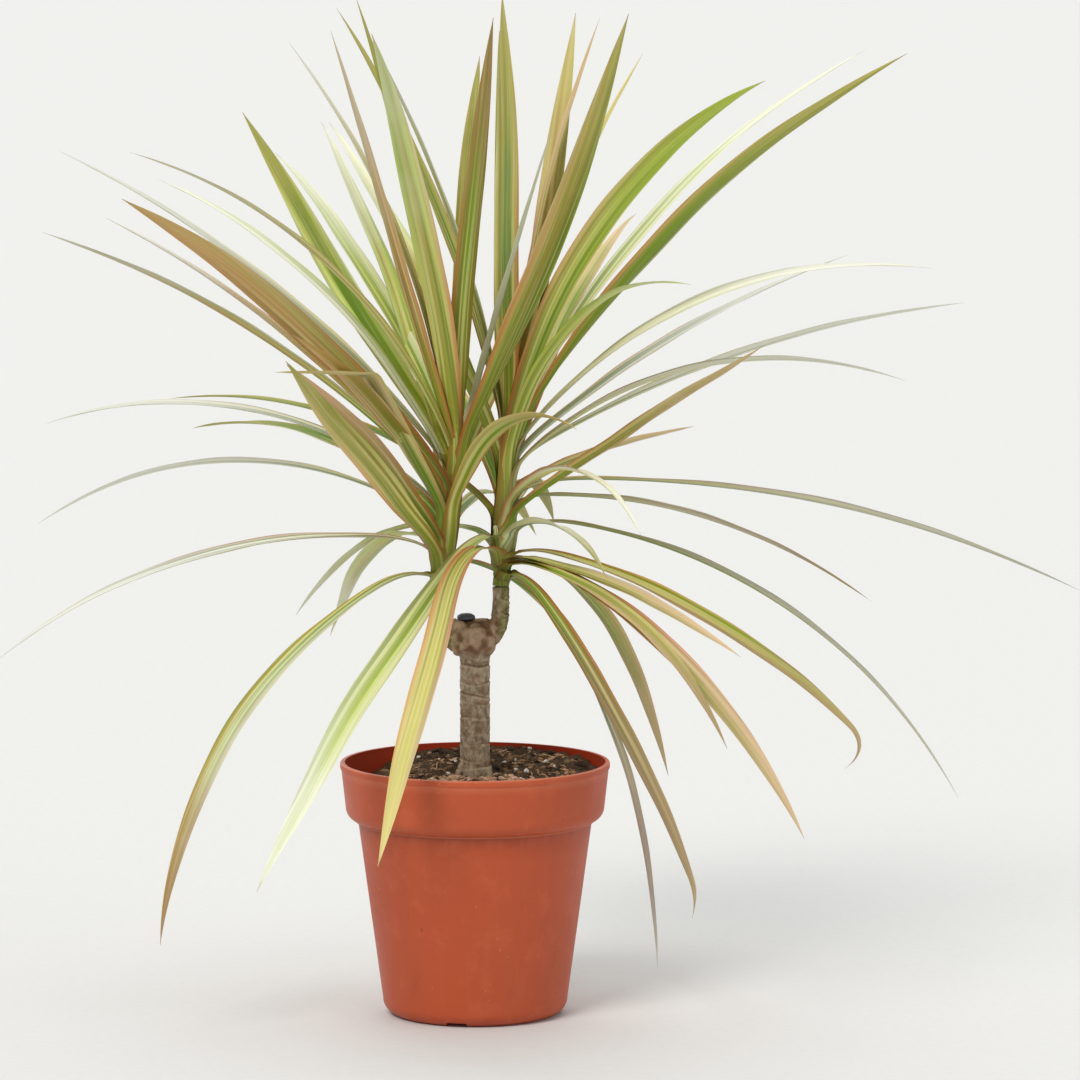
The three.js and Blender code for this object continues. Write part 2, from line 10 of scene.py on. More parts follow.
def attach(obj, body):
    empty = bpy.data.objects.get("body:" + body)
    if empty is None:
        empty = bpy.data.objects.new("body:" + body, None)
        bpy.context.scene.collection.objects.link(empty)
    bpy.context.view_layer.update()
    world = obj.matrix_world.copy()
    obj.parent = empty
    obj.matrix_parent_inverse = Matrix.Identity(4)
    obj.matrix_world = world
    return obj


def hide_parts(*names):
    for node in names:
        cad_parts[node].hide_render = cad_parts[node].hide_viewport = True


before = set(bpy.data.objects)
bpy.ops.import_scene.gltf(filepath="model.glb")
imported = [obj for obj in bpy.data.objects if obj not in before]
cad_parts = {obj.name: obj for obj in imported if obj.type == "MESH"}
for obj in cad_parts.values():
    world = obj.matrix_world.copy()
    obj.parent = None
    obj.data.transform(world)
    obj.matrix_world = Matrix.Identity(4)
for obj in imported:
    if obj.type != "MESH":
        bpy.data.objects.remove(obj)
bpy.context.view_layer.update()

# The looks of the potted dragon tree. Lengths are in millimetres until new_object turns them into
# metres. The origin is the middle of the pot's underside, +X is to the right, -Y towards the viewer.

MM = 0.001

# ---- sizes, as in the CAD source

GAP = 0.3
POT_HEIGHT = 113
POT_RIM_RADIUS = 60
POT_LIP_HEIGHT = 3
POT_LIP_OUT = 0.5
POT_EDGE = 0.7
POT_BAND_HEIGHT = 20
POT_BAND_RADIUS = 57.6
POT_BAND_CURVE = 6
POT_WALL_TOP_RADIUS = 52
POT_WALL_FOOT_RADIUS = 41.2
POT_CORNER = 7
POT_WALL = 1.4
POT_FLOOR = 1.8
POT_FOOT_RISE = 2
POT_FOOT_RING = 6
POT_BOSS_RADIUS = 11
POT_DRAFT = 1
DRAIN_COUNT = 4
DRAIN_WIDTH = 9.5
DRAIN_FIRST = 258
DRAIN_HOLE_RADIUS = 3.5
DRAIN_HOLE_PLACE = 23
DRAIN_HOLE_SIDES = 32

SOIL_LEVEL = 107.3
SOIL_RISE = (0.02, 0.06)
SOIL_HOLLOW = {"x": -50, "y": 26, "depth": 7, "spread": 20}
SOIL_LUMP = 0.7

CANE_RADIUS = 6.6
CANE_TOP = 166
CANE_DEPTH = 20
CANE_HEAD = 9
CANE_HEAD_GROWTH = 0.9
KNOB_CENTRE = (-0.4, 0, 169)
KNOB_RADII = (10, 8.4, 8.6)
KNOB_SQUARENESS = 3
KNOB_TOP = 176.5
SHOOT_RADIUS = 3.8
SHOOT_BASE_GROWTH = 1.1
SHOOT_LEAVES_KNOB = {"left": 166.5, "right": 168}
SHOOT_END = 191

WAX_CENTRE = (-4.0, -1.0)
WAX_RADII = (3.9, 3.6)
WAX_THICKNESS = 2.7

CORE_FOOT_RADIUS = 3.9
CORE_BODY_RADIUS = 5.4
CORE_TIP_RADIUS = 2.6
CROWNS = {
    "left": {"foot": (-16, -3, 191.3), "top": (-7.5, -5, 246)},
    "right": {"foot": (11.5, 3, 191.3), "top": (14.5, 4, 250)},
}

LEAF_SAMPLES = 96
LEAF_CHANNEL = 0.24
LEAF_BASE_WIDTH = 0.66
LEAF_FULL_FROM = 0.4
LEAF_FULL_TO = 0.46
SHEATH_SHARE = 0.16

# Each leaf that shows: root, azimuth, lift, droop, length, width, roll and colours. Its colours are
# the five stripes across the blade, from its right edge to its left one as seen from its root, and
# the one that it fades to. Some have a fold (its angle, where it starts and over what share of the
# leaf it goes) or a base that clasps the stem on another side (its azimuth).
LEFT_LEAVES = [
    (0.05, 207, -17, 67, 224, 10, -25, "khaki khaki pale grey pale brown"),
    (0.22, 176, 9, 48, 216, 8, -20, "mauve grey ash grey mauve ash"),
    (0.14, 250, 29, 0, 210, 11, 30, "pink tan khaki olive green khaki"),
    (0.24, 243, 41, 16, 172, 10, 25, "rust khaki tan sand pink pink"),
    (0.38, 187, 38, 72, 196, 8, 20, "ash grey ash ash grey ash"),
    (0.40, 300, 68, 84, 142, 9, -20, "cream khaki green khaki tan tan"),
    (0.46, 240, 48, 6, 174, 9, 10, "cream sand khaki sand cream cream", {"fold": (38, 0.54, 0.06)}),
    (0.52, 172, 43, 62, 198, 8, -12, "grey ash ash ash grey ash"),
    (0.56, 237, 47, 22, 150, 10, 15, "pink tan olive olive brown tan"),
    (0.58, 157, 49, 26, 216, 9, 0, "tan tan tan brown tan ash"),
    (0.64, 184, 48, 29, 221, 9, 20, "sand mauve tan khaki grey grey"),
    (0.68, 224, 46, 20, 238, 12, 50, "rust brown tan khaki sand tan"),
    (0.76, 345, 76, 4, 168, 9, 0, "white white white white white white"),
    (0.78, 150, 62, 44, 212, 9, 0, "lime pale white white pale white"),
    (0.82, 170, 52, 27, 234, 9, -12, "ash grey grey grey mauve ash"),
    (0.84, 285, 81, 20, 220, 10, 0, "tan olive green olive olive brown"),
    (0.87, 128, 41, -4, 226, 12, -30, "pale green dark lime pale khaki"),
    (0.90, 150, 83, 35, 212, 9, 12, "sand cream cream sand sand ash"),
    (0.92, 205, 70, 54, 220, 9, 0, "khaki khaki khaki cream cream grey"),
    (0.94, 215, 71, 0, 206, 9, 0, "rust tan brown tan sand mauve"),
    (0.95, 326, 60, -10, 222, 12, -45, "sand tan olive dark lime khaki"),
    (0.97, 120, 49, 25, 220, 10, 0, "white pale lime lime pale white"),
    (1.00, 250, 74, 25, 220, 12, 8, "bright green khaki lime sand pale"),
]
RIGHT_LEAVES = [
    (0.20, 242, 0, 0, 185, 12, -10, "rust cream yellow sand sand cream", {"fold": (60, 0.06, 0.3)}),
    (0.05, 30, -50, 38, 212, 8, 0, "grey white ash white grey ash"),
    (0.07, 312, -36, 26, 196, 10, 0, "brown dun dun dun sand dun", {"fold": (45, 0.9, 0.1)}),
    (0.10, 318, 0, 57, 158, 8, 10, "sand sand khaki khaki khaki dun"),
    (0.13, 325, -12, 48, 203, 10, 28, "sand khaki khaki sand pink sand"),
    (0.16, 330, -5, 26, 128, 8, 20, "sand khaki khaki sand grey sand", {"base": 300}),
    (0.19, 340, -8, 38, 204, 9, 25, "dun dun olive green brown dun",
     {"fold": (95, 0.88, 0.12), "base": 262}),
    (0.36, 226, -36, 20, 212, 12, -30, "pale pale lime pale pale white"),
    (0.32, 300, 30, 70, 98, 8, -20, "pale white ash white grey khaki", {"base": 250}),
    (0.36, 350, 0, 61, 250, 9, -20, "grey grey pale grey grey ash"),
    (0.42, 315, 30, 3, 182, 9, -15, "brown khaki olive tan sand sand", {"base": 232}),
    (0.50, 300, 45, 88, 134, 8, -20, "sand white cream white sand white", {"base": 262}),
    (0.56, 338, 8, 41, 182, 9, -20, "grey mauve grey khaki sand dun"),
    (0.62, 3, 4, 30, 268, 8, -20, "mauve ash grey ash mauve grey"),
    (0.66, 40, 17, 12, 116, 8, 10, "brown tan khaki tan sand sand"),
    (0.74, 335, 46, 62, 210, 8, -15, "mauve white ash ash mauve ash"),
    (0.78, 305, 74, 79, 182, 9, 0, "bright lime lime cream pale pale"),
    (0.80, 345, 33, 25, 225, 8, -20, "grey ash ash ash grey ash"),
    (0.83, 40, 32, 20, 228, 8, 0, "mauve ash ash ash mauve ash"),
    (0.86, 8, 56, 64, 225, 8, 20, "grey pale ash grey grey ash"),
    (0.88, 20, 83, 25, 196, 9, 0, "sand cream khaki khaki tan cream"),
    (0.90, 345, 62, 34, 262, 10, -45, "tan khaki green dark pale khaki"),
    (0.92, 20, 66, 40, 256, 9, 12, "pale white pale pale white white"),
    (0.93, 165, 82, 22, 204, 8, 0, "ash pale khaki pale khaki grey"),
    (0.95, 312, 73, 54, 247, 12, -30, "sand khaki bright bright lime bright"),
    (0.96, 36, 76, -6, 200, 11, 45, "khaki khaki tan cream sand cream"),
    (0.97, 22, 86, 18, 200, 8, 0, "sand tan khaki sand pink sand"),
    (1.00, 95, 93, 18, 205, 11, 0, "tan khaki cool khaki pale khaki"),
]

# The leaves at the back, from the lowest, hanging ones to the upright young ones.
BACK_LEAF_RULE = {
    "root": (0.08, 0.97),
    "lift": (-4, 78),
    "lift_spread": 4,
    "droop": (52, 18),
    "droop_spread": 7,
    "length": (200, 240),
    "width": (8, 10.5),
    "turn": 0.618,
}
BACK_LEAVES = [
    {"crown": "left", "count": 9, "arc": (62, 136), "seed": 11, "last_aside": 20},
    {"crown": "right", "count": 9, "arc": (64, 150), "seed": 29, "last_aside": 0},
]
BACK_LEAF_COLOURS = [
    "sand khaki green khaki sand sand",
    "pale lime khaki lime pale white",
    "khaki olive dark olive khaki khaki",
    "tan green dark lime sand khaki",
    "sand lime green khaki pink khaki",
]
# Dry scraps of old leaves that still cling to the stems, in the same terms.
SCRAPS = [
    ("left", (0.26, 322, 48, 70, 11, 2.4, 0, "sand white sand white sand white")),
    ("right", (0.40, 236, 76, 20, 12, 2.2, 0, "white sand white sand white white")),
    ("right", (0.30, 222, 64, 70, 9, 2.4, 0, "tan sand sand tan tan sand")),
]

PAINTS = {
    "green": (114, 144, 22),
    "dark": (84, 118, 18),
    "bright": (158, 182, 48),
    "lime": (184, 198, 100),
    "cool": (120, 146, 80),
    "olive": (130, 116, 24),
    "khaki": (162, 155, 80),
    "cream": (214, 202, 130),
    "yellow": (196, 190, 102),
    "pale": (198, 206, 158),
    "white": (228, 230, 212),
    "tan": (196, 154, 100),
    "dun": (160, 134, 102),
    "sand": (210, 180, 144),
    "pink": (228, 176, 148),
    "rust": (200, 112, 60),
    "brown": (152, 112, 68),
    "grey": (192, 192, 176),
    "mauve": (188, 172, 162),
    "ash": (220, 221, 212),
}

# ---- helpers


def mix(a, b, t):
    return a + (b - a) * t


def ease(t):
    s = np.clip(t, 0, 1)
    return s * s * (3 - 2 * s)


def polar(radius, turn):
    return radius * math.cos(turn), radius * math.sin(turn)


def rotated(x, y, turn):
    """A point of a plane, turned about its origin."""
    cos, sin = math.cos(turn), math.sin(turn)
    return x * cos - y * sin, x * sin + y * cos


def turns(sides):
    return np.arange(sides) * 2 * math.pi / sides


def unit(vectors):
    return vectors / np.linalg.norm(vectors, axis=-1, keepdims=True)


def circle(radius, height, sides):
    return [(*polar(radius, turn), height) for turn in turns(sides)]


def srgb(colour):
    """A colour as the eye sees it, each part from 0 to 255, in Blender's linear values."""
    parts = [v / 255 for v in colour]
    return [v / 12.92 if v < 0.04045 else ((v + 0.055) / 1.055) ** 2.4 for v in parts] + [1]


def joined(shapes):
    """Several shapes, each given as points and faces, as one."""
    points, faces = [], []
    for shape_points, shape_faces in shapes:
        first = len(points)
        points += shape_points
        faces += [tuple(first + v for v in face) for face in shape_faces]
    return points, faces


def linked(name, data):
    thing = bpy.data.objects.new(name, data)
    bpy.context.scene.collection.objects.link(thing)
    return thing


def new_object(name, points, faces):
    """An object from points in millimetres."""
    mesh = bpy.data.meshes.new(name)
    mesh.from_pydata((np.asarray(points) * MM).tolist(), [], faces)
    return linked(name, mesh)


def new_piece(name, points, faces, material, slot, replaced=(), crease=40):
    """A mesh piece of the object from points in millimetres, smooth but for its sharp edges."""
    return dress(new_object(name, points, faces), material, slot, replaced, crease)


def dress(piece, material, slot, replaced=(), crease=40):
    mesh = piece.data
    mesh.polygons.foreach_set("use_smooth", [True] * len(mesh.polygons))
    mesh.set_sharp_from_angle(angle=math.radians(crease))
    mesh.materials.clear()
    mesh.materials.append(material)
    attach(piece, "root")
    if replaced:
        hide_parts(*replaced)
    return piece


def keep_modified(piece):
    """Gives a piece the mesh that its modifiers make, in place of its own."""
    shape = piece.evaluated_get(bpy.context.evaluated_depsgraph_get())
    mesh = bpy.data.meshes.new_from_object(shape)
    piece.modifiers.clear()
    old = piece.data
    piece.data = mesh
    bpy.data.meshes.remove(old)


def store(piece, **stored):
    """Stores numbers, vectors or colours for each vertex, for the materials to read."""
    kinds = {1: ("FLOAT", "value"), 3: ("FLOAT_VECTOR", "vector"), 4: ("FLOAT_COLOR", "color")}
    for name, values in stored.items():
        values = np.asarray(values, np.float32)
        kind, field = kinds[values[0].size]
        piece.data.attributes.new(name, kind, "POINT").data.foreach_set(field, values.ravel())


def read_values(mesh, name):
    """The three numbers of each vertex's "co" or "normal"."""
    values = np.zeros(len(mesh.vertices) * 3, np.float32)
    mesh.vertices.foreach_get(name, values)
    return values.reshape(-1, 3).astype(float)


def ring_faces(rings, sides, first=0):
    """Quads between rings of points, each ring anticlockwise as seen from the last one's side."""
    faces = []
    for i in range(rings - 1):
        for j in range(sides):
            a = first + i * sides + j
            b = first + i * sides + (j + 1) % sides
            faces.append((a, b, b + sides, a + sides))
    return faces


def tube_faces(rings, sides, first=0):
    """ring_faces with both ends closed."""
    last = first + (rings - 1) * sides
    ends = [tuple(first + j for j in reversed(range(sides))), tuple(last + j for j in range(sides))]
    return ring_faces(rings, sides, first) + ends


def ball_shape(subdivisions, moved):
    """A ball of radius 1 whose every point (x, y, z) is moved to moved(x, y, z)."""
    ball = bmesh.new()
    bmesh.ops.create_icosphere(ball, subdivisions=subdivisions, radius=1)
    points = [moved(*vertex.co) for vertex in ball.verts]
    faces = [tuple(v.index for v in face.verts) for face in ball.faces]
    ball.free()
    return points, faces


def lump(point, scale, seed=0):
    """Smooth noise from about -1 to 1 at a point in millimetres. scale is the size of its lumps."""
    x, y, z = point
    return noise.noise(Vector((x / scale + 17.3 * seed, y / scale, z / scale)))


class Surface:
    """A material in the making: a Principled shader and the nodes that feed it.

    Its base colour is built up in layers. Colours are nodes, or three parts from 0 to 255."""

    def __init__(self, name, shine, base=None):
        self.material = bpy.data.materials.new(name)
        self.material.use_nodes = True
        self.tree = self.material.node_tree
        self.shader = self.tree.nodes["Principled BSDF"]
        self.feed(self.shader.inputs["Specular IOR Level"], shine)
        self.base = base

    def feed(self, socket, value):
        if isinstance(value, bpy.types.NodeSocket):
            self.tree.links.new(value, socket)
        else:
            socket.default_value = value

    def add(self, kind, inputs, output=0, **settings):
        node = self.tree.nodes.new(kind)
        for key, value in settings.items():
            setattr(node, key, value)
        for key, value in inputs.items():
            self.feed(node.inputs[key], value)
        return node.outputs[output]

    def place(self):
        """The point in the row frame, in metres."""
        return self.add("ShaderNodeTexCoord", {}, output="Object")

    def read(self, name, output="Fac"):
        """What store has put at each vertex: a Fac, a Vector or a Color."""
        return self.add("ShaderNodeAttribute", {}, output=output, attribute_name=name)

    def part(self, vector, index):
        """One of a vector's or a colour's three numbers."""
        return self.add("ShaderNodeSeparateXYZ", {"Vector": vector}, output=index)

    def squeezed(self, vector, factors):
        return self.add("ShaderNodeVectorMath", {0: vector, 1: factors}, operation="MULTIPLY")

    def noise(self, vector, size, detail=3, roughness=0.5, squeeze=(1, 1, 1)):
        """Noise from 0 to 1, with features of this size in metres, longer where squeeze is small."""
        inputs = {"Scale": 1 / size, "Detail": detail, "Roughness": roughness}
        inputs["Vector"] = self.squeezed(vector, squeeze)
        return self.add("ShaderNodeTexNoise", inputs)

    def cells(self, vector, size, squeeze=(1, 1, 1)):
        """The distance from the middle of the nearest of many cells."""
        inputs = {"Vector": self.squeezed(vector, squeeze), "Scale": 1 / size}
        return self.add("ShaderNodeTexVoronoi", inputs, output="Distance")

    def span(self, value, low, high, to_low=0.0, to_high=1.0):
        """A smooth step from to_low to to_high as value goes from low to high."""
        inputs = {"Value": value, "From Min": low, "From Max": high}
        inputs |= {"To Min": to_low, "To Max": to_high}
        return self.add("ShaderNodeMapRange", inputs, interpolation_type="SMOOTHSTEP")

    def times(self, a, b, plus=0.0):
        """a times b, with a third value added."""
        return self.add("ShaderNodeMath", {0: a, 1: b, 2: plus}, operation="MULTIPLY_ADD")

    def blend(self, factor, a, b):
        """Two colours mixed by a factor."""
        inputs = {0: factor, 6: a, 7: b}
        inputs = {key: srgb(v) if isinstance(v, tuple) else v for key, v in inputs.items()}
        return self.add("ShaderNodeMix", inputs, output=2, data_type="RGBA")

    def paint(self, colour, factor):
        """Lays one more layer of colour over the base."""
        self.base = self.blend(factor, self.base, colour)

    def tint(self, colour, value, low, high, most=1.0):
        """Lays a colour over the base, from nothing to most as value goes from low to high."""
        self.paint(colour, self.span(value, low, high, 0, most))

    def bump(self, height, distance, strength, under=None):
        inputs = {"Height": height, "Distance": distance, "Strength": strength}
        if under is not None:
            inputs["Normal"] = under
        return self.add("ShaderNodeBump", inputs)

    def finish(self, rough, bump=None):
        for name, value in (("Base Color", self.base), ("Roughness", rough), ("Normal", bump)):
            if value is not None:
                self.feed(self.shader.inputs[name], value)
        return self.material


# ---- camera, light and floor

CAMERA_PLACE = (0.0289, -2.600, 0.505)
CAMERA_AIM = (0.0289, 0, 0.212)
CAMERA_LENS = 196.9
# Distant, soft lights: where each shines from, as azimuth and height in degrees, then how soft it
# is, in degrees, its strength and its colour.
SUNS = {
    "key": (240, 44, 24, 1.72, (1, 0.98, 0.94)),
    "top": (80, 74, 55, 0.95, (1, 1, 1)),
    "fill": (330, 22, 60, 0.52, (1, 1, 1)),
    "back": (100, 30, 50, 0.5, (1, 1, 1)),
}
SKY_COLOUR = (0.95, 0.96, 0.97, 1)
SKY_STRENGTH = 0.44
FLOOR_RADIUS = 80  # in metres, as this section's lengths all are


def make_camera():
    data = bpy.data.cameras.new("camera")
    data.sensor_width = 36
    data.lens = CAMERA_LENS
    data.clip_start = 0.05
    data.clip_end = 200
    camera = linked("camera", data)
    camera.location = CAMERA_PLACE
    look = Vector(CAMERA_AIM) - Vector(CAMERA_PLACE)
    camera.rotation_euler = look.to_track_quat("-Z", "Y").to_euler()
    bpy.context.scene.camera = camera


def make_studio():
    for name, (azimuth, height, softness, strength, colour) in SUNS.items():
        data = bpy.data.lights.new(name, "SUN")
        data.angle = math.radians(softness)
        data.energy = strength
        data.color = colour
        rise = math.radians(height)
        source = Vector((*polar(math.cos(rise), math.radians(azimuth)), math.sin(rise)))
        sun = linked(name, data)
        sun.location = source
        sun.rotation_euler = source.to_track_quat("Z", "Y").to_euler()
    world = bpy.data.worlds.new("studio")
    world.use_nodes = True
    background = world.node_tree.nodes["Background"]
    background.inputs["Color"].default_value = SKY_COLOUR
    background.inputs["Strength"].default_value = SKY_STRENGTH
    bpy.context.scene.world = world
    bpy.context.scene.view_settings.view_transform = "Standard"

    paper = Surface("floor_paper", 0.5, (214, 214, 212))
    paper.paint((222, 222, 220), paper.noise(paper.place(), 0.004, 4))
    bpy.ops.mesh.primitive_circle_add(vertices=96, radius=FLOOR_RADIUS, fill_type="NGON")
    floor = bpy.context.object
    floor.name = "floor"
    floor.data.materials.append(paper.finish(0.85))


# ---- pot

POT_SIDES = 192
BAND_FOOT = POT_HEIGHT - POT_BAND_HEIGHT
WALL_TOP = BAND_FOOT - POT_BAND_CURVE - POT_EDGE
FOOT_RADIUS = POT_WALL_FOOT_RADIUS - POT_CORNER
FLOOR_TOP = POT_FOOT_RISE + POT_FLOOR
BEAD_RADIUS = 52.5  # the thin bead where the band meets the wall
BEAD_HEIGHT = 86.9
BEAD_SIZE = 0.6
BAND_SHADE_REACH = 9  # how far the painted shade under the band reaches down the wall


def arc(centre, radius, start, end, steps):
    angles = [math.radians(mix(start, end, i / steps)) for i in range(steps + 1)]
    return [(centre[0] + radius * math.cos(t), centre[1] + radius * math.sin(t)) for t in angles]


def straight(start, end, steps):
    """Points between two others of a profile, without those two."""
    return [tuple(mix(a, b, i / steps) for a, b in zip(start, end)) for i in range(1, steps)]


def pot_outside():
    lip_foot = (POT_RIM_RADIUS - POT_LIP_OUT, POT_HEIGHT - POT_LIP_HEIGHT)
    wall_top = (POT_WALL_TOP_RADIUS, WALL_TOP)
    lip = POT_RIM_RADIUS - POT_EDGE
    return [
        *arc((FOOT_RADIUS, POT_CORNER), POT_CORNER, -90, 0, 12),
        *straight((POT_WALL_FOOT_RADIUS, POT_CORNER), wall_top, 14),
        wall_top,
        *arc((BEAD_RADIUS, BEAD_HEIGHT), BEAD_SIZE, -70, 50, 6),
        *arc((POT_BAND_RADIUS - POT_BAND_CURVE, BAND_FOOT), POT_BAND_CURVE, -66, 0, 10),
        *straight((POT_BAND_RADIUS, BAND_FOOT), lip_foot, 5),
        lip_foot,
        *arc((lip, lip_foot[1] + POT_EDGE), POT_EDGE, -60, 0, 4),
        *arc((lip, POT_HEIGHT - POT_EDGE), POT_EDGE, 0, 90, 5),
    ]


def pot_inside(offset):
    inwards = POT_WALL + offset
    floor = FLOOR_TOP + offset
    corner = POT_CORNER - inwards
    return [
        (POT_RIM_RADIUS - POT_EDGE - inwards, POT_HEIGHT),
        (POT_RIM_RADIUS - POT_LIP_OUT - inwards, POT_HEIGHT - POT_LIP_HEIGHT),
        (POT_BAND_RADIUS - inwards, BAND_FOOT),
        (POT_WALL_TOP_RADIUS - inwards, WALL_TOP),
        *arc((FOOT_RADIUS, floor + corner), corner, 0, -90, 6),
    ]


def lathe(profile, sides):
    """Points and faces of a body turned about Z from a profile that starts and ends on the axis."""
    points = [(0, 0, profile[0][1])]
    for radius, height in profile[1:-1]:
        points += circle(radius, height, sides)
    points.append((0, 0, profile[-1][1]))
    last = len(points) - 1
    start = last - sides
    faces = ring_faces(len(profile) - 2, sides, first=1)
    for j in range(sides):
        after = (j + 1) % sides
        faces.append((0, 1 + after, 1 + j))
        faces.append((last, start + j, start + after))
    return points, faces


def notch_shape(azimuth):
    """The room that a drainage notch takes, with a rounded top."""
    half = DRAIN_WIDTH / 2
    section = [(-half, -1), (half, -1), *arc((half - 1, POT_FOOT_RISE - 1), 1, 0, 90, 4),
               *arc((1 - half, POT_FOOT_RISE - 1), 1, 90, 180, 4)]
    ends = (DRAIN_HOLE_PLACE, POT_WALL_FOOT_RADIUS + 2)
    points = [(*rotated(x, y, math.radians(azimuth)), z) for x in ends for y, z in section]
    return points, tube_faces(2, len(section))


def hole_shape(azimuth):
    ends = [circle(DRAIN_HOLE_RADIUS, height, DRAIN_HOLE_SIDES) for height in (-1, FLOOR_TOP + 1)]
    turn = math.radians(azimuth)
    points = [(*rotated(DRAIN_HOLE_PLACE + x, y, turn), z) for end in ends for x, y, z in end]
    return points, tube_faces(2, DRAIN_HOLE_SIDES)


def cut(piece, shapes):
    cutter = new_object("cutter", *joined(shapes))
    modifier = piece.modifiers.new("cut", "BOOLEAN")
    modifier.object = cutter
    modifier.solver = "EXACT"
    keep_modified(piece)
    bpy.data.objects.remove(cutter)


def nearness(value, middle, reach):
    return np.exp(-((value - middle) / reach) ** 2)


def pot_plastic():
    skin = Surface("terracotta_plastic", 0.34, (186, 76, 36))
    place = skin.place()
    clouds = skin.noise(place, 0.045, 4)
    streaks = skin.noise(place, 0.006, 4, 0.6, (1, 1, 0.07))
    blotches = skin.noise(place, 0.013, 5, 0.65)
    stains = skin.noise(place, 0.02, 6, 0.65)
    scuffed = skin.span(skin.noise(place, 0.03), 0.45, 0.6, 0, 0.5)
    dusty = skin.span(blotches, 0.48, 0.56, 0, 0.35)
    skin.paint((174, 80, 48), clouds)
    skin.tint((196, 96, 58), blotches, 0.5, 0.66, 0.3)
    skin.tint((190, 104, 72), streaks, 0.52, 0.78, 0.2)
    skin.tint((150, 68, 40), stains, 0.58, 0.74, 0.25)
    skin.tint((204, 136, 104), skin.cells(place, 0.009, (1, 1, 0.6)), 0.08, 0.03, scuffed)
    skin.tint((104, 50, 34), skin.cells(place, 0.021, (1, 1, 0.8)), 0.045, 0.02, 0.5)
    skin.tint((214, 150, 118), skin.cells(place, 0.0046), 0.1, 0.05, dusty)
    # Paler edges: partly wear, partly a painted highlight along the bead, the lip and the rim.
    skin.paint((214, 132, 98), skin.times(skin.read("edge"), 0.55))
    # Painted shade on the wall under the band.
    skin.paint((132, 50, 26), skin.times(skin.read("grime"), 0.4))
    # The inside is painted a deeper red, standing in for light that shines through the plastic.
    skin.paint((168, 52, 18), skin.read("inner"))
    ripple = skin.bump(streaks, 0.0004, 0.2)
    fine = skin.bump(skin.noise(place, 0.0006, 2), 0.0001, 0.3, ripple)
    return skin.finish(skin.span(clouds, 0.3, 0.7, 0.42, 0.54), fine)


def make_pot():
    inside = pot_inside(0)
    profile = [
        (0, 0),
        (POT_BOSS_RADIUS, 0),
        (POT_BOSS_RADIUS + POT_DRAFT, POT_FOOT_RISE),
        (FOOT_RADIUS - POT_FOOT_RING - POT_DRAFT, POT_FOOT_RISE),
        (FOOT_RADIUS - POT_FOOT_RING, 0),
        *pot_outside(),
        *inside[:4],
        *straight(inside[3], inside[4], 8),
        *inside[4:],
        (0, FLOOR_TOP),
    ]
    pot = new_object("pot_moulding", *lathe(profile, POT_SIDES))
    azimuths = [DRAIN_FIRST + i * 360 / DRAIN_COUNT for i in range(DRAIN_COUNT)]
    cut(pot, [notch_shape(a) for a in azimuths])
    cut(pot, [hole_shape(a) for a in azimuths])
    dress(pot, pot_plastic(), "pot", ("pot",), crease=32)
    # Paler edges, partly wear and partly a painted highlight: the bead, the lip and the corner of the
    # lip.
    # Painted shade darkens the wall under the band, and the inside is painted a deeper red that stands
    # in for light shining through the plastic.
    points = read_values(pot.data, "co") / MM
    radius = np.hypot(points[:, 0], points[:, 1])
    height = points[:, 2]
    edge = nearness(height, BEAD_HEIGHT, 0.5) * (radius > POT_WALL_TOP_RADIUS)
    edge += nearness(height, POT_HEIGHT, 0.5) + 0.5 * nearness(height, POT_HEIGHT - POT_LIP_HEIGHT, 0.4)
    grime = (height < WALL_TOP + 0.5) * ease((height - WALL_TOP + BAND_SHADE_REACH) / BAND_SHADE_REACH)
    outward = (read_values(pot.data, "normal")[:, :2] * points[:, :2]).sum(axis=1)
    store(pot, edge=np.clip(edge, 0, 1), grime=grime, inner=(outward < 0) & (height > FLOOR_TOP))


# ---- soil

SOIL_SIDES = 180
SOIL_RINGS = 44
SOIL_HOLE_RADIUS = 7.4
SOIL_EDGE = 57.3  # where the surface meets the wall of the pot
SOIL_DIP = (58, 6)  # the soil has sunk a little at the right, too
SOIL_DIP_DEPTH = 4.5
SOIL_DIP_SPREAD = 15
SCATTER_SEED = 5
SCATTER_EDGE = 54  # crumbs, chips and grains lie within this radius
CRUMBS = 1300
FIBRES = 90
PERLITE_GRAINS = 34
CHIP_HEAP = (-2, -15)  # paler chips lie thickest here, in front of the cane
CHIP_HEAP_SPREAD = (22, 5)


def soil_height(x, y):
    away = math.hypot(x - SOIL_HOLLOW["x"], y - SOIL_HOLLOW["y"]) / SOIL_HOLLOW["spread"]
    hollow = SOIL_HOLLOW["depth"] * math.exp(-away * away)
    broad = math.sin(0.31 * x + 1.3) * math.cos(0.27 * y)
    fine = math.sin(0.53 * x - 0.47 * y)
    slope = SOIL_RISE[0] * x + SOIL_RISE[1] * y
    return SOIL_LEVEL + slope - hollow + SOIL_LUMP * (broad + 0.7 * fine)


def crumbly_height(x, y):
    """soil_height with crumbs of three sizes, and with the dip at the right."""
    crumbs = 0.9 * lump((x, y, 0), 6, 1) + 0.8 * abs(lump((x, y, 0), 2.6, 2))
    crumbs += 0.35 * lump((x, y, 0), 1.1, 3)
    right = math.hypot(x - SOIL_DIP[0], y - SOIL_DIP[1]) / SOIL_DIP_SPREAD
    return soil_height(x, y) + crumbs - SOIL_DIP_DEPTH * math.exp(-right * right)


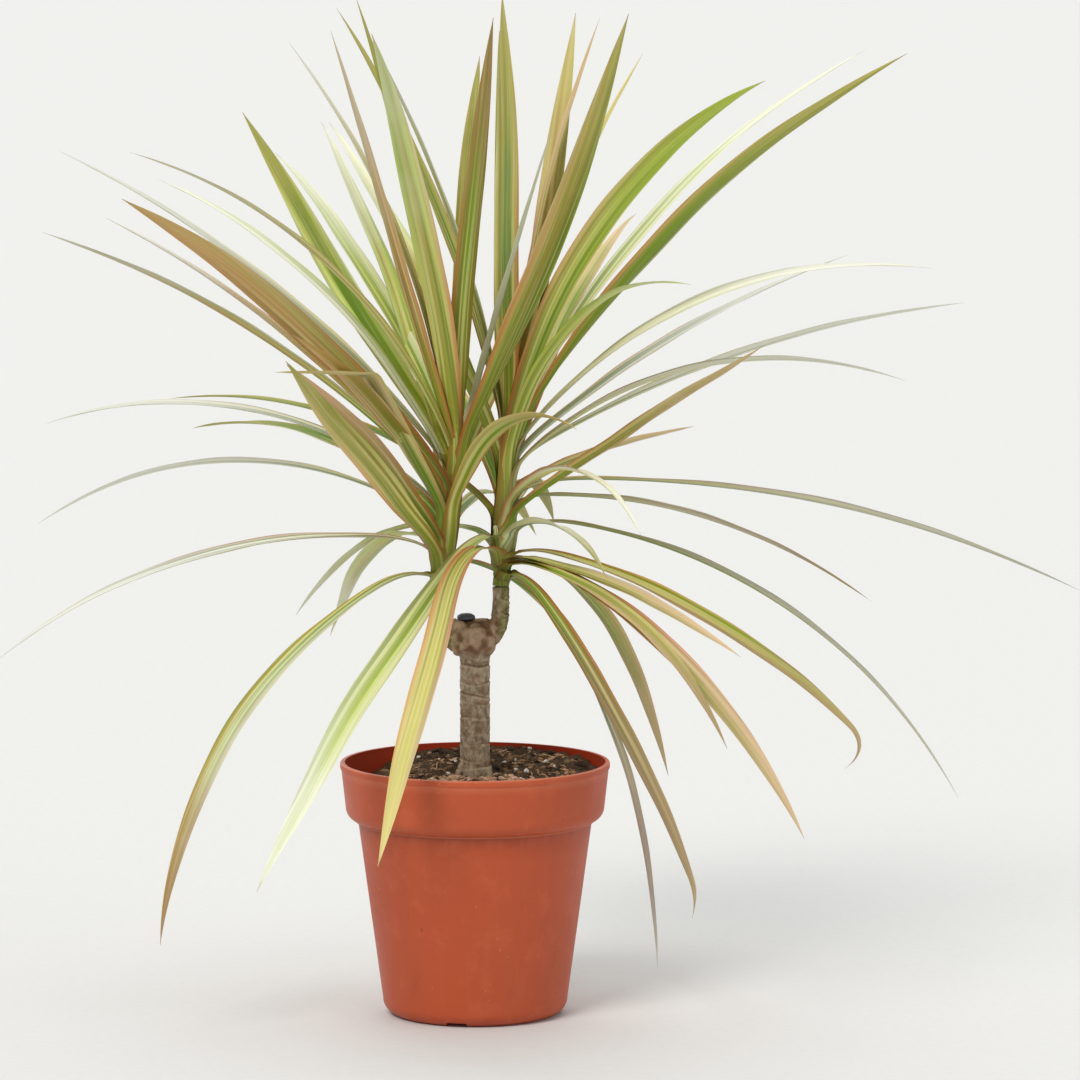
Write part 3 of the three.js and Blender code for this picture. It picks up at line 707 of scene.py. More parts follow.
def soil_matter(name, shaded):
    """Potting soil. Where it is shaded, each crumb has a tone of its own."""
    skin = Surface(name, 0.2, (44, 33, 24))
    place = skin.place()
    grain = skin.noise(place, 0.0011, 5, 0.7)
    skin.tint((104, 80, 58), grain, 0.35, 0.7)
    skin.tint((84, 62, 44), skin.noise(place, 0.007), 0.45, 0.7, 0.6)
    if shaded:
        shade = skin.read("shade")
        tone = skin.blend(skin.span(shade, 0.2, 0.6), (46, 34, 26), (104, 82, 60))
        tone = skin.blend(skin.span(shade, 0.6, 0.95), tone, (158, 128, 98))
        skin.paint(tone, 0.65)
    skin.tint((160, 132, 98), skin.cells(place, 0.0016, (1, 0.35, 1)), 0.16, 0.06, 0.6)
    rough = skin.span(grain, 0.3, 0.7, 0.82, 0.98)
    return skin.finish(rough, skin.bump(grain, 0.0012, 0.8))


def make_soil():
    rings = [circle(radius, height, SOIL_SIDES) for radius, height in reversed(pot_inside(GAP)[2:])]
    for k in range(SOIL_RINGS + 1):
        radius = mix(SOIL_EDGE, SOIL_HOLE_RADIUS, k / SOIL_RINGS)
        rings.append([(x, y, crumbly_height(x, y)) for x, y, _ in circle(radius, 0, SOIL_SIDES)])
    rings.append(circle(SOIL_HOLE_RADIUS, SOIL_LEVEL - CANE_DEPTH - GAP, SOIL_SIDES))
    points = [point for ring in rings for point in ring]
    matter = soil_matter("potting_soil", False)
    new_piece("soil_bed", points, tube_faces(len(rings), SOIL_SIDES), matter, "soil", ("soil",), 60)


def crumb_shape(rng, centre, sizes, seed):
    """A rough lump: a ball with noise in its skin, turned and stretched."""
    turn = rng.uniform(0, math.pi)
    tilt = rng.uniform(-0.5, 0.5)

    def moved(x, y, z):
        swell = 1 + 0.7 * lump((x, y, z), 0.8, seed) + 0.4 * lump((x, y, z), 0.35, seed + 3)
        x, y, z = (v * swell * size for v, size in zip((x, y, z), sizes))
        y, z = rotated(y, z, tilt)
        x, y = rotated(x, y, turn)
        return centre[0] + x, centre[1] + y, centre[2] + z

    return ball_shape(2, moved)


def fibre_shape(rng, place):
    """A thin, bent bit of root or bark fibre that lies on the soil."""
    turn = rng.uniform(0, math.pi)
    half = rng.uniform(1.2, 3.6)
    bow = rng.uniform(-0.5, 0.5)
    centres = []
    for t in np.linspace(-1, 1, 7):
        x, y = np.add(place[:2], rotated(half * t, bow * (1 - t * t), turn))
        centres.append((x, y, crumbly_height(x, y) + 0.5))
    size = rng.uniform(0.16, 0.34)
    return circle_tube(centres, [size * (1 - 0.4 * t * t) for t in np.linspace(-1, 1, 7)], 6)


def near_heap(x, y):
    """How thickly the paler chips lie at a place, from 0 to 1."""
    dx = (x - CHIP_HEAP[0]) / CHIP_HEAP_SPREAD[0]
    dy = (y - CHIP_HEAP[1]) / CHIP_HEAP_SPREAD[1]
    return math.exp(-dx * dx - dy * dy)


def scatter(rng, count, edge, sunk=0.2, chance=None):
    """Random places on the soil, between the cane and the pot. chance thins them out by place."""
    places = []
    while len(places) < count:
        radius = edge * math.sqrt(rng.uniform(0.02, 1))
        x, y = polar(radius, rng.uniform(0, math.tau))
        if math.hypot(x, y) < SOIL_HOLE_RADIUS + 1.5:
            continue
        if chance and rng.random() > chance(x, y):
            continue
        places.append((x, y, crumbly_height(x, y) - sunk))
    return places


def shade_each(piece, shapes, shades):
    """Gives each of the shapes that were joined its shade."""
    store(piece, shade=np.repeat(shades, [len(points) for points, _ in shapes]))


def chip_matter():
    skin = Surface("bark_chip", 0.25, (112, 82, 58))
    shade = skin.read("shade")
    fibre = skin.noise(skin.place(), 0.0007, 4, squeeze=(1, 0.3, 1))
    skin.tint((180, 140, 104), shade, 0, 0.5)
    skin.tint((228, 190, 166), shade, 0.5, 1)
    skin.tint((104, 74, 52), fibre, 0.4, 0.72, 0.5)
    rough = skin.span(fibre, 0.3, 0.7, 0.7, 0.95)
    return skin.finish(rough, skin.bump(fibre, 0.0004, 0.7))


def perlite_matter():
    skin = Surface("perlite", 0.3, (196, 190, 180))
    pores = skin.cells(skin.place(), 0.0005)
    skin.tint((238, 234, 226), pores, 0.1, 0.5)
    return skin.finish(skin.span(pores, 0, 0.5, 0.95, 0.8), skin.bump(pores, 0.0003, 0.7))


# Chips lie all over, and paler ones in the heap: how many, within what radius, how deep they are
# sunk, and what thins them out, then their lengths, widths per length, heights, seeds and shades.
CHIPS = [
    (240, SCATTER_EDGE - 1.5, 0, None, (0.7, 2.6), (0.3, 0.6), (0.4, 0.9), 500, (0, 0.75)),
    (110, 32, -0.3, near_heap, (0.9, 2.5), (0.4, 0.8), (0.5, 1.1), 700, (0.45, 1)),
]


def make_soil_bits():
    rng = random.Random(SCATTER_SEED)
    crumbs = []
    for n, place in enumerate(scatter(rng, CRUMBS, SCATTER_EDGE)):
        size = rng.uniform(0.35, 0.8) if rng.random() < 0.65 else rng.uniform(0.8, 1.7)
        sizes = (size * rng.uniform(0.8, 1.9), size, size * rng.uniform(0.5, 1.0))
        crumbs.append(crumb_shape(rng, place, sizes, n))
    piece = new_piece("soil_crumbs", *joined(crumbs), soil_matter("soil_crumb", True), "soil", crease=60)
    shade_each(piece, crumbs, [rng.random() for _ in crumbs])

    chips, shades = [], []
    for count, edge, sunk, chance, lengths, widths, heights, seed, tones in CHIPS:
        for n, place in enumerate(scatter(rng, count, edge, sunk, chance)):
            length = rng.uniform(*lengths)
            sizes = (length, length * rng.uniform(*widths), rng.uniform(*heights))
            chips.append(crumb_shape(rng, place, sizes, n + seed))
            shades.append(rng.uniform(*tones))
    for place in scatter(rng, FIBRES, SCATTER_EDGE - 4, -0.4):
        chips.append(fibre_shape(rng, place))
        shades.append(rng.uniform(0.3, 0.9))
    piece = new_piece("bark_chips", *joined(chips), chip_matter(), "soil")
    shade_each(piece, chips, shades)

    grains = []
    for n, place in enumerate(scatter(rng, PERLITE_GRAINS, SCATTER_EDGE, 0)):
        size = rng.uniform(0.5, 1.3)
        grains.append(crumb_shape(rng, place, (size, size * 0.9, size * 0.8), n + 900))
    new_piece("perlite", *joined(grains), perlite_matter(), "soil", crease=50)


# ---- trunk

BARK_VOXEL = 0.5
BARK_SOFTENING = 3
BARK_GROOVE = 0.45  # how deep the leaf scars are
BARK_LIP = 0.22  # and how far the bark stands out under each
SCARS_SEED = 8
SCAR_WIDTH = 0.5
CANE_SCARS = (111, 160, (3.6, 7.5))  # from, to, and the least and the most height between two
SHOOT_SCARS = (173, 190, (2.4, 4.2))
# How far a scar slants and to which side, how wavy and how deep it is, and where it fades out.
SCAR_RANGES = {
    "slant": (0.3, 1.5), "turn": (0, math.tau),
    "wave": (0.1, 0.5), "depth": (0.55, 1), "gap": (0, math.tau),
}
SHOOTS_FROM = 165  # above this a point of the bark may lie on a shoot
KNOB_LUMPS = 1.3
KNOB_SKIN = (159, 181)  # the lumps fade in and out at these heights
KNOB_REACH = 14
CANE_SIDES = 60
CANE_STEPS = 110
CANE_FLARE = 1.5  # growth of the cane's radius at the soil
# The azimuth, height and reach of each root that breaks out of the cane's foot.
CANE_ROOTS = [(214, 113, 3.6), (262, 111, 2.2), (325, 110.5, 2.6), (80, 112, 3)]


def circle_tube(centres, radii, sides):
    """A closed tube through points, with a radius at each."""
    centres = np.asarray(centres, float)
    points = []
    for centre, way, radius in zip(centres, unit(np.gradient(centres, axis=0)), radii):
        across = unit(np.cross(way, (0, 1, 0)))
        other = np.cross(way, across)
        points += [tuple(centre + x * across + y * other) for x, y, _ in circle(radius, 0, sides)]
    return points, tube_faces(len(centres), sides)


def lengths_along(points):
    """How far each point of a course is from the first one, along the course."""
    return np.append(0, np.cumsum(np.linalg.norm(np.diff(points, axis=0), axis=1)))


def curve_through(points, steps):
    """A smooth curve through points, at even shares from point to point (Catmull-Rom)."""
    p = np.asarray([points[0], *points, points[-1]], float)
    made = []
    for i in range(1, len(p) - 2):
        for t in np.linspace(0, 1, steps, endpoint=False):
            made.append(0.5 * (2 * p[i] + (p[i + 1] - p[i - 1]) * t
                               + (2 * p[i - 1] - 5 * p[i] + 4 * p[i + 1] - p[i + 2]) * t ** 2
                               + (3 * p[i] - p[i - 1] - 3 * p[i + 1] + p[i + 2]) * t ** 3))
    made.append(p[-2])
    return np.asarray(made)


def shoot_shape(side):
    x, y, _ = CROWNS[side]["foot"]
    start = SHOOT_LEAVES_KNOB[side]
    centres = curve_through([
        (x * 0.2, y * 0.2, start),
        (x * 0.62, y * 0.5, start + 0.6),
        (x * 0.93, y * 0.85, start + 6),
        (x, y, start + 15),
        (x, y, SHOOT_END),
    ], 14)
    share = lengths_along(centres) / lengths_along(centres)[-1]
    radii = SHOOT_RADIUS + SHOOT_BASE_GROWTH * (1 - ease(share / 0.4))
    return circle_tube(centres, radii, 40)


def cane_shape():
    """The cane, a little wider and lobed where it meets the soil."""
    heights = np.linspace(SOIL_LEVEL - CANE_DEPTH, CANE_TOP, CANE_STEPS)
    points = []
    for z in heights:
        head = CANE_HEAD_GROWTH * ease((z - CANE_TOP + CANE_HEAD) / CANE_HEAD)
        flare = CANE_FLARE * ease((SOIL_LEVEL + 6 - z) / 6)
        for turn in turns(CANE_SIDES):
            lobes = 0.55 + 0.45 * math.sin(3 * turn + 0.6)
            points.append((*polar(CANE_RADIUS + head + flare * lobes, turn), z))
    return points, tube_faces(CANE_STEPS, CANE_SIDES)


def root_shapes():
    """Thick roots that break out of the cane's foot and dive into the soil."""
    shapes = []
    for azimuth, height, reach in CANE_ROOTS:
        places = [(CANE_RADIUS - 2, height), (CANE_RADIUS + 0.3, height - 1.2),
                  (CANE_RADIUS + 0.6 * reach, height - 4), (CANE_RADIUS + reach, height - 9)]
        centres = curve_through([(*polar(away, math.radians(azimuth)), z) for away, z in places], 8)
        shapes.append(circle_tube(centres, np.linspace(1.7, 0.9, len(centres)), 16))
    return shapes


def knob_shape():
    """The lumpy, boxy head, flattened where it was cut."""
    def moved(x, y, z):
        box = sum(abs(v) ** KNOB_SQUARENESS for v in (x, y, z)) ** (-1 / KNOB_SQUARENESS)
        swell = 1 + 0.07 * math.sin(5 * x + 2) * math.cos(4 * z) + 0.05 * math.sin(6 * y + 3 * z)
        x, y, z = (c + v * r * box * swell for c, v, r in zip(KNOB_CENTRE, (x, y, z), KNOB_RADII))
        return x, y, min(z, KNOB_TOP)

    return ball_shape(5, moved)


def scar_rings(rng, z, high, pitches):
    """Leaf scars up a stem from a height z on, each with what SCAR_RANGES says."""
    rings = []
    while z < high:
        ring = {name: rng.uniform(*ends) for name, ends in SCAR_RANGES.items()}
        rings.append({"z": z, **ring})
        z += rng.uniform(*pitches)
    return rings


def ring_groove(rings, z, turn):
    """How deep a point lies in the nearest scar, and how much it stands on the lip under one."""
    groove = lip = 0.0
    for ring in rings:
        if abs(z - ring["z"]) > 4:
            continue
        at = ring["z"] + ring["slant"] * math.cos(turn - ring["turn"])
        at += ring["wave"] * math.sin(3 * turn + 2 * ring["turn"])
        cover = 0.35 + 0.65 * (0.5 + 0.5 * math.cos(turn - ring["gap"]))
        groove = max(groove, ring["depth"] * cover * nearness(z, at, SCAR_WIDTH))
        lip = max(lip, ring["depth"] * nearness(z, at - 2 * SCAR_WIDTH, 1.4 * SCAR_WIDTH))
    return groove, lip


def bark():
    skin = Surface("grey_bark", 0.2, (136, 116, 92))
    place = skin.place()
    knob = skin.read("knob")
    streak = skin.noise(place, 0.0021, 5, 0.6, (1, 1, 0.7))
    patch = skin.noise(place, 0.0055, 4, 0.6)
    skin.tint((194, 176, 152), streak, 0.35, 0.66)
    skin.tint((176, 134, 112), patch, 0.54, 0.66, 0.6)
    skin.tint((136, 126, 96), patch, 0.44, 0.34, 0.5)
    skin.tint((122, 90, 68), skin.noise(place, 0.0085), 0.54, 0.66, 0.4)
    skin.tint((200, 184, 164), skin.noise(place, 0.0032), 0.56, 0.66, 0.6)
    # On the knob the lumps are painted paler on their tops and darker in their hollows: painted light and
    # shade.
    hill = skin.times(patch, 0.5, skin.read("hill"))
    lumps_lit_and_shaded = skin.blend(skin.span(hill, 0.5, 0.95), (116, 84, 60), (190, 162, 136))
    lumps_lit_and_shaded = skin.blend(skin.span(streak, 0.6, 0.35, 0, 0.5), lumps_lit_and_shaded, (140, 112, 86))
    skin.paint(lumps_lit_and_shaded, knob)
    green = skin.blend(skin.span(streak, 0.3, 0.7), (100, 94, 58), (158, 150, 104))
    skin.paint(green, skin.read("young"))
    skin.tint((194, 178, 150), skin.read("lip"), 0.35, 1, 0.5)
    skin.tint((104, 74, 52), skin.read("scar"), 0.1, 0.7, 0.7)
    # Painted shade in the hollows between the knob's lumps.
    skin.tint((84, 60, 42), hill, 0.5, 0.3, skin.times(knob, 0.7))
    rough = skin.bump(streak, 0.0005, 0.7)
    grain = skin.bump(skin.noise(place, 0.0007, 3, 0.6), 0.0002, 0.6, rough)
    return skin.finish(skin.span(streak, 0.3, 0.7, 0.75, 0.95), grain)


def make_trunk():
    shapes = [cane_shape(), knob_shape(), shoot_shape("left"), shoot_shape("right"), *root_shapes()]
    # The shapes overlap, and the remesh makes one skin of them.
    trunk = new_object("trunk_bark", *joined(shapes))
    modifier = trunk.modifiers.new("skin", "REMESH")
    modifier.mode = "VOXEL"
    modifier.voxel_size = BARK_VOXEL * MM
    trunk.modifiers.new("soften", "SMOOTH").iterations = BARK_SOFTENING
    keep_modified(trunk)
    points = read_values(trunk.data, "co") / MM
    normals = read_values(trunk.data, "normal")
    rng = random.Random(SCARS_SEED)
    cane_rings = scar_rings(rng, *CANE_SCARS)
    shoot_rings = {side: scar_rings(rng, *SHOOT_SCARS) for side in CROWNS}
    stored = []
    for i, (x, y, z) in enumerate(points):
        away = math.hypot(x - KNOB_CENTRE[0], y)
        knob = ease((z - KNOB_SKIN[0]) / 5) * ease((KNOB_REACH - away) / 3) * ease((KNOB_SKIN[1] - z) / 4)
        young = 0
        if z > SHOOTS_FROM:
            young = ease((math.hypot(x, y) - 9.5) / 3)
            side = "left" if x < KNOB_CENTRE[0] else "right"
            foot = CROWNS[side]["foot"]
            groove, lip = ring_groove(shoot_rings[side], z, math.atan2(y - foot[1], x - foot[0]))
            groove, lip = groove * young, lip * young
        else:
            groove, lip = ring_groove(cane_rings, z, math.atan2(y, x))
            groove, lip = groove * (1 - 0.6 * knob), lip * (1 - knob)
        rough = 0.22 * lump((x, y, z * 0.5), 1.9, 4) + 0.12 * lump((x, y, z), 0.9, 9)
        hill = lump((x, y, z), 5.4, 5) + 0.5 * lump((x, y, z), 2.3, 6)
        moved = rough + KNOB_LUMPS * knob * hill - BARK_GROOVE * groove + BARK_LIP * lip
        if z > KNOB_TOP - 0.6 and away < 8:
            moved = min(moved, 0)
        points[i] += normals[i] * moved
        stored.append((groove, lip, knob, young, 0.5 + 0.6 * hill))
    trunk.data.vertices.foreach_set("co", (points * MM).astype(np.float32).ravel())
    store(trunk, **dict(zip(("scar", "lip", "knob", "young", "hill"), zip(*stored))))
    dress(trunk, bark(), "trunk", ("trunk",), crease=80)


def wax():
    skin = Surface("sealing_wax", 0.5, (40, 44, 54))
    cloud = skin.noise(skin.place(), 0.0022, 4)
    skin.paint((86, 92, 104), cloud)
    return skin.finish(skin.span(cloud, 0.3, 0.7, 0.35, 0.6), skin.bump(cloud, 0.0006, 0.6))


def make_wax_seal():
    """A cap of wax with a soft, uneven edge."""
    foot = KNOB_TOP + GAP
    # The profile's radii and heights, as shares of the cap's.
    profile = [(0, 0), (0.55, 0), (0.93, 0)]
    profile += [(0.9 + 0.1 * math.cos(t), 0.3 + 0.3 * math.sin(t)) for t in np.linspace(-1.4, 1.4, 9)]
    profile += [(0.8, 0.72), (0.6, 0.88), (0.35, 0.96), (0, 1)]
    points, faces = lathe([(radius, foot + WAX_THICKNESS * share) for radius, share in profile], 64)
    shaped = []
    for x, y, z in points:
        turn = math.atan2(y, x)
        swell = 1 + 0.05 * math.sin(3 * turn + 1) + 0.035 * math.sin(7 * turn)
        top = 0.18 * lump((x * 4, y * 4, 0), 2, 7) if z > foot + 1 else 0
        shaped.append((WAX_CENTRE[0] + x * swell * WAX_RADII[0],
                       WAX_CENTRE[1] + y * swell * WAX_RADII[1], z + top))
    new_piece("wax_cap", shaped, faces, wax(), "wax", ("wax_seal",), 60)


# ---- leaves

BLADE_COLUMNS = 9
BLADE_EDGE = 0.16
BLADE_MIDRIB = (0.95, 0.4)
BLADE_RIPPLE = 0.036  # of the blade's half width, along its edges
BLADE_SWAY = 0.5
BLADE_CURL = 0.12
BLADE_SEED = 1000
BLADE_TONES = (0.95, 1.17)  # the darkest and the lightest leaf
SHEATH_STEPS = 22
# Where up the stem the lowest leaf and the top one clasp it.
SHEATH_FEET = {"left": (0.02, 0.32), "right": (0.06, 0.44)}
SHEATH_STAND = 1.4  # how far it stands off the stem where the blade spreads
SHEATH_CLEAR = 4  # it turns into the free blade this far off the stem
SHEATH_SUNK = 1.6  # how deep its foot sits in the stem
SHEATH_SOFT = (0.9, 0.1)  # how softly it leaves the stem, at its foot and at its top
SHEATH_THICK = 0.55
STEM_TIP = 0.35  # the stem thins away over this share of its length past its top
SHEATH_WIDTH = 1.25  # of the blade's full width
SHEATH_WRAP = 1.35  # the most that a base wraps the stem to either side, in radians
SHEATH_OPENS = 0.1  # over this share of its length a clasping leaf opens into its channel
STRIPES = ("edge_right", "band_right", "middle", "band_left", "edge_left", "far")
LEAF_SIZES = ("root", "azimuth", "lift", "droop", "length", "width", "roll")
STEM_STEPS = 180
STEM_SIDES = 48
STEM_SEEDS = {"left": 31, "right": 37}
STEM_RING_PITCH = 3.4
STEM_GLOW = {"left": 0, "right": 0.5}  # how much a stem yellows towards its top
STEM_GLOW_FROM = 22


def axis_point(crown, share):
    foot, top = (np.asarray(CROWNS[crown][end], float) for end in ("foot", "top"))
    return mix(foot, top, share)


def half_width(s, width):
    grown = mix(LEAF_BASE_WIDTH, 1, ease(s / LEAF_FULL_FROM))
    past = np.maximum(0, (s - LEAF_FULL_TO) / (1 - LEAF_FULL_TO))
    return 0.5 * width * grown * np.maximum(0.02, 1 - past ** 2.2)


def direction_at(leaf, s):
    angle, start, span = leaf["fold"]
    hug = 0.5 * (90 - leaf["lift"]) * np.maximum(0, 1 - s / SHEATH_SHARE) ** 2
    pitch = np.radians(leaf["lift"] + hug - leaf["droop"] * s - angle * ease((s - start) / span))
    heading = math.radians(leaf["azimuth"])
    flat = np.cos(pitch)
    return np.stack([flat * math.cos(heading), flat * math.sin(heading), np.sin(pitch)], axis=1)


def level_way(heading):
    return np.stack([np.cos(heading), np.sin(heading), np.zeros_like(heading)], axis=-1)


def course(leaf):
    """The midrib's points, the blade's side and upper directions and its half width along a leaf."""
    s = np.linspace(0, 1, LEAF_SAMPLES + 1)
    along = direction_at(leaf, s)
    steps = direction_at(leaf, s[:-1] + 0.5 / LEAF_SAMPLES) * leaf["length"] / LEAF_SAMPLES
    start = axis_point(leaf["crown"], leaf["root"])
    point = start + np.vstack([np.zeros(3), np.cumsum(steps, axis=0)])
    level = level_way(math.radians(leaf["azimuth"]) + math.pi / 2)
    roll = (np.radians(leaf["roll"]) * ease(2 * s))[:, None]
    side = level * np.cos(roll) + np.cross(along, level) * np.sin(roll)
    return s, point, along, side, np.cross(along, side), half_width(s, leaf["width"])


def leaf_from_row(crown, row):
    plain = {"crown": crown, "fold": (0, 0, 1), "base": row[1], "colours": row[7].split()}
    return {**plain, **dict(zip(LEAF_SIZES, row)), **dict(*row[8:])}


def draw_from(seed):
    """The CAD source's small generator of numbers from 0 to 1."""
    state = seed
    while True:
        state = (state * 1664525 + 1013904223) % 4294967296
        yield state / 4294967296


def back_leaves(crown, count, arc, seed, last_aside):
    rule = BACK_LEAF_RULE
    draw = draw_from(seed)
    leaves = []
    for i in range(count):
        share = i / (count - 1)
        azimuth = mix(*arc, (i * rule["turn"]) % 1) + (last_aside if i == count - 1 else 0)
        lift = mix(*rule["lift"], share) + rule["lift_spread"] * (2 * next(draw) - 1)
        droop = mix(*rule["droop"], share) + rule["droop_spread"] * (2 * next(draw) - 1)
        length = mix(*rule["length"], next(draw))
        width = mix(*rule["width"], next(draw))
        colours = BACK_LEAF_COLOURS[i % len(BACK_LEAF_COLOURS)]
        row = (mix(*rule["root"], share), azimuth, lift, droop, length, width, 0, colours)
        leaves.append(leaf_from_row(crown, row))
    return leaves


def all_leaves():
    leaves = [leaf_from_row("left", row) for row in LEFT_LEAVES]
    leaves += [leaf_from_row("right", row) for row in RIGHT_LEAVES]
    for group in BACK_LEAVES:
        leaves += back_leaves(**group)
    return leaves + [leaf_from_row(*scrap) for scrap in SCRAPS]


def leaf_base(leaf, s, point, along):
    """The clasping base of a leaf: it climbs the stem and bends into the blade where that is clear.

    Returns the first sample of the course that is clear of the stem, the base's points, directions
    and sides from its foot up, and their distances from the stem's axis."""
    foot, top = axis_point(leaf["crown"], 0), axis_point(leaf["crown"], 1)
    axis = top - foot
    azimuth = math.radians(leaf["azimuth"])
    outward, sideways = level_way(azimuth), level_way(azimuth + math.pi / 2)

    def off_axis(places):
        shares = (places[:, 2] - foot[2]) / axis[2]
        off = places - foot - np.outer(shares, axis)
        return shares, off @ outward, off @ sideways

    shares, away, _ = off_axis(point)
    clear = np.nonzero((away > stem_radius(shares) + SHEATH_CLEAR) | (shares > 1 + STEM_TIP))[0]
    free = clear[0] if len(clear) else len(s) // 3
    low = max(0, min(mix(*SHEATH_FEET[leaf["crown"]], leaf["root"]), shares[free] - 0.06))
    start = foot + low * axis + outward * (stem_radius(low) - SHEATH_SUNK)
    end, end_away = point[free], away[free]
    handle = 0.45 * np.linalg.norm(end - start)
    room = max(end_away - stem_radius(shares[free]), 1) / max(along[free] @ outward, 0.05)
    pulls = [start, start + axis / axis[2] * handle, end - along[free] * min(handle, room), end]
    q = np.linspace(0, 1, SHEATH_STEPS, endpoint=False)
    parts = [(1 - q) ** 3, 3 * q * (1 - q) ** 2, 3 * q ** 2 * (1 - q), q ** 3]
    shares, away, aside = off_axis(sum(np.outer(part, pull) for part, pull in zip(parts, pulls)))
    least = stem_radius(shares) + mix(-SHEATH_SUNK, SHEATH_STAND, np.sqrt(q))
    least = mix(least, end_away, ease((shares - 1) / STEM_TIP))
    soft = mix(*SHEATH_SOFT, q)
    away = soft * np.logaddexp(away / soft, least / soft)
    heading = np.radians(mix(leaf["base"], leaf["azimuth"], ease(1.4 * q)))
    level = level_way(heading + math.pi / 2)
    base = foot + np.outer(shares, axis) + level_way(heading) * away[:, None] + level * aside[:, None]
    way = unit(np.gradient(np.vstack([base, end]), axis=0)[:-1])
    return free, base, way, level, np.append(away, end_away)


def blade(leaf, rng):
    """One leaf as a thin closed channel, with what its material reads at each vertex."""
    s, point, along, side, up, half = course(leaf)
    free, base, way, level, away = leaf_base(leaf, s, point, along)
    q = np.arange(SHEATH_STEPS) / SHEATH_STEPS
    base_half = mix(0.5 * leaf["width"] * SHEATH_WIDTH, half[free], ease(q))
    clasp = np.concatenate([np.ones(SHEATH_STEPS), 1 - ease((s[free:] - s[free]) / SHEATH_OPENS)])
    bend = np.concatenate([away[:-1], np.full(len(s) - free, away[-1])])
    point = np.vstack([base, point[free:]])
    side = np.vstack([level, side[free:]])
    up = np.vstack([unit(np.cross(way, level)), up[free:]])
    half = np.concatenate([base_half, half[free:]])
    s = np.concatenate([0.12 * (q - 1) + s[free] * q, s[free:]])

    open_part = ease(s / 0.3)
    dry = ease((s - 0.9) / 0.1) if leaf["fold"][1] > 0.8 else np.zeros_like(s)
    half = half * (1 - 0.55 * dry)
    sway = BLADE_SWAY * open_part * np.sin(2 * math.pi * (rng.uniform(1.2, 2.4) * s + rng.random()))
    point = point + side * sway[:, None]
    curl = rng.uniform(-BLADE_CURL, BLADE_CURL)
    curl = curl * np.sin(2 * math.pi * (rng.uniform(0.6, 1.4) * s + rng.random()))
    curl = (open_part * curl + 1.4 * dry)[:, None]
    side, up = side * np.cos(curl) + up * np.sin(curl), up * np.cos(curl) - side * np.sin(curl)
    channel = LEAF_CHANNEL + 0.5 * dry
    midrib = mix(mix(*BLADE_MIDRIB, np.maximum(s, 0)), SHEATH_THICK, clasp)
    bend = np.maximum(bend, half / SHEATH_WRAP)

    across = np.linspace(-1, 1, BLADE_COLUMNS)
    under = across[-2:0:-1]
    columns = np.append(across, under)
    below = np.repeat([0.0, 1.0], [len(across), len(under)])
    rings = []
    for u, lower in zip(columns, below):
        soft = (math.sqrt(u * u + 0.03) - math.sqrt(0.03)) / (math.sqrt(1.03) - math.sqrt(0.03))
        wave = BLADE_RIPPLE * half * np.sin(2 * math.pi * 5 * s + 3 * u) * abs(u)
        turn = u * half / bend
        aside = mix(half * u, bend * np.sin(turn), clasp)
        rise = mix(half * channel * soft + wave, bend * (1 - np.cos(turn)), clasp)
        thick = lower * mix(BLADE_EDGE, midrib, (1 - abs(u)) ** 1.6) * np.minimum(1, half / 1.2)
        rings.append(point + side * aside[:, None] + up * (rise - thick)[:, None])
    sides = len(columns)
    walked = lengths_along(point)
    grain = [(half[:, None] * columns * MM).ravel(), np.repeat(walked, sides) * MM]
    grain.append(np.full(sides * len(s), rng.random()))
    values = {
        "across": np.tile(columns, len(s)),
        "along": np.repeat(s, sides),
        "under": np.tile(below, len(s)),
        "dry": np.repeat(dry, sides),
        "grain": np.stack(grain, axis=1),
    }
    return np.stack(rings, axis=1).reshape(-1, 3), sides, values


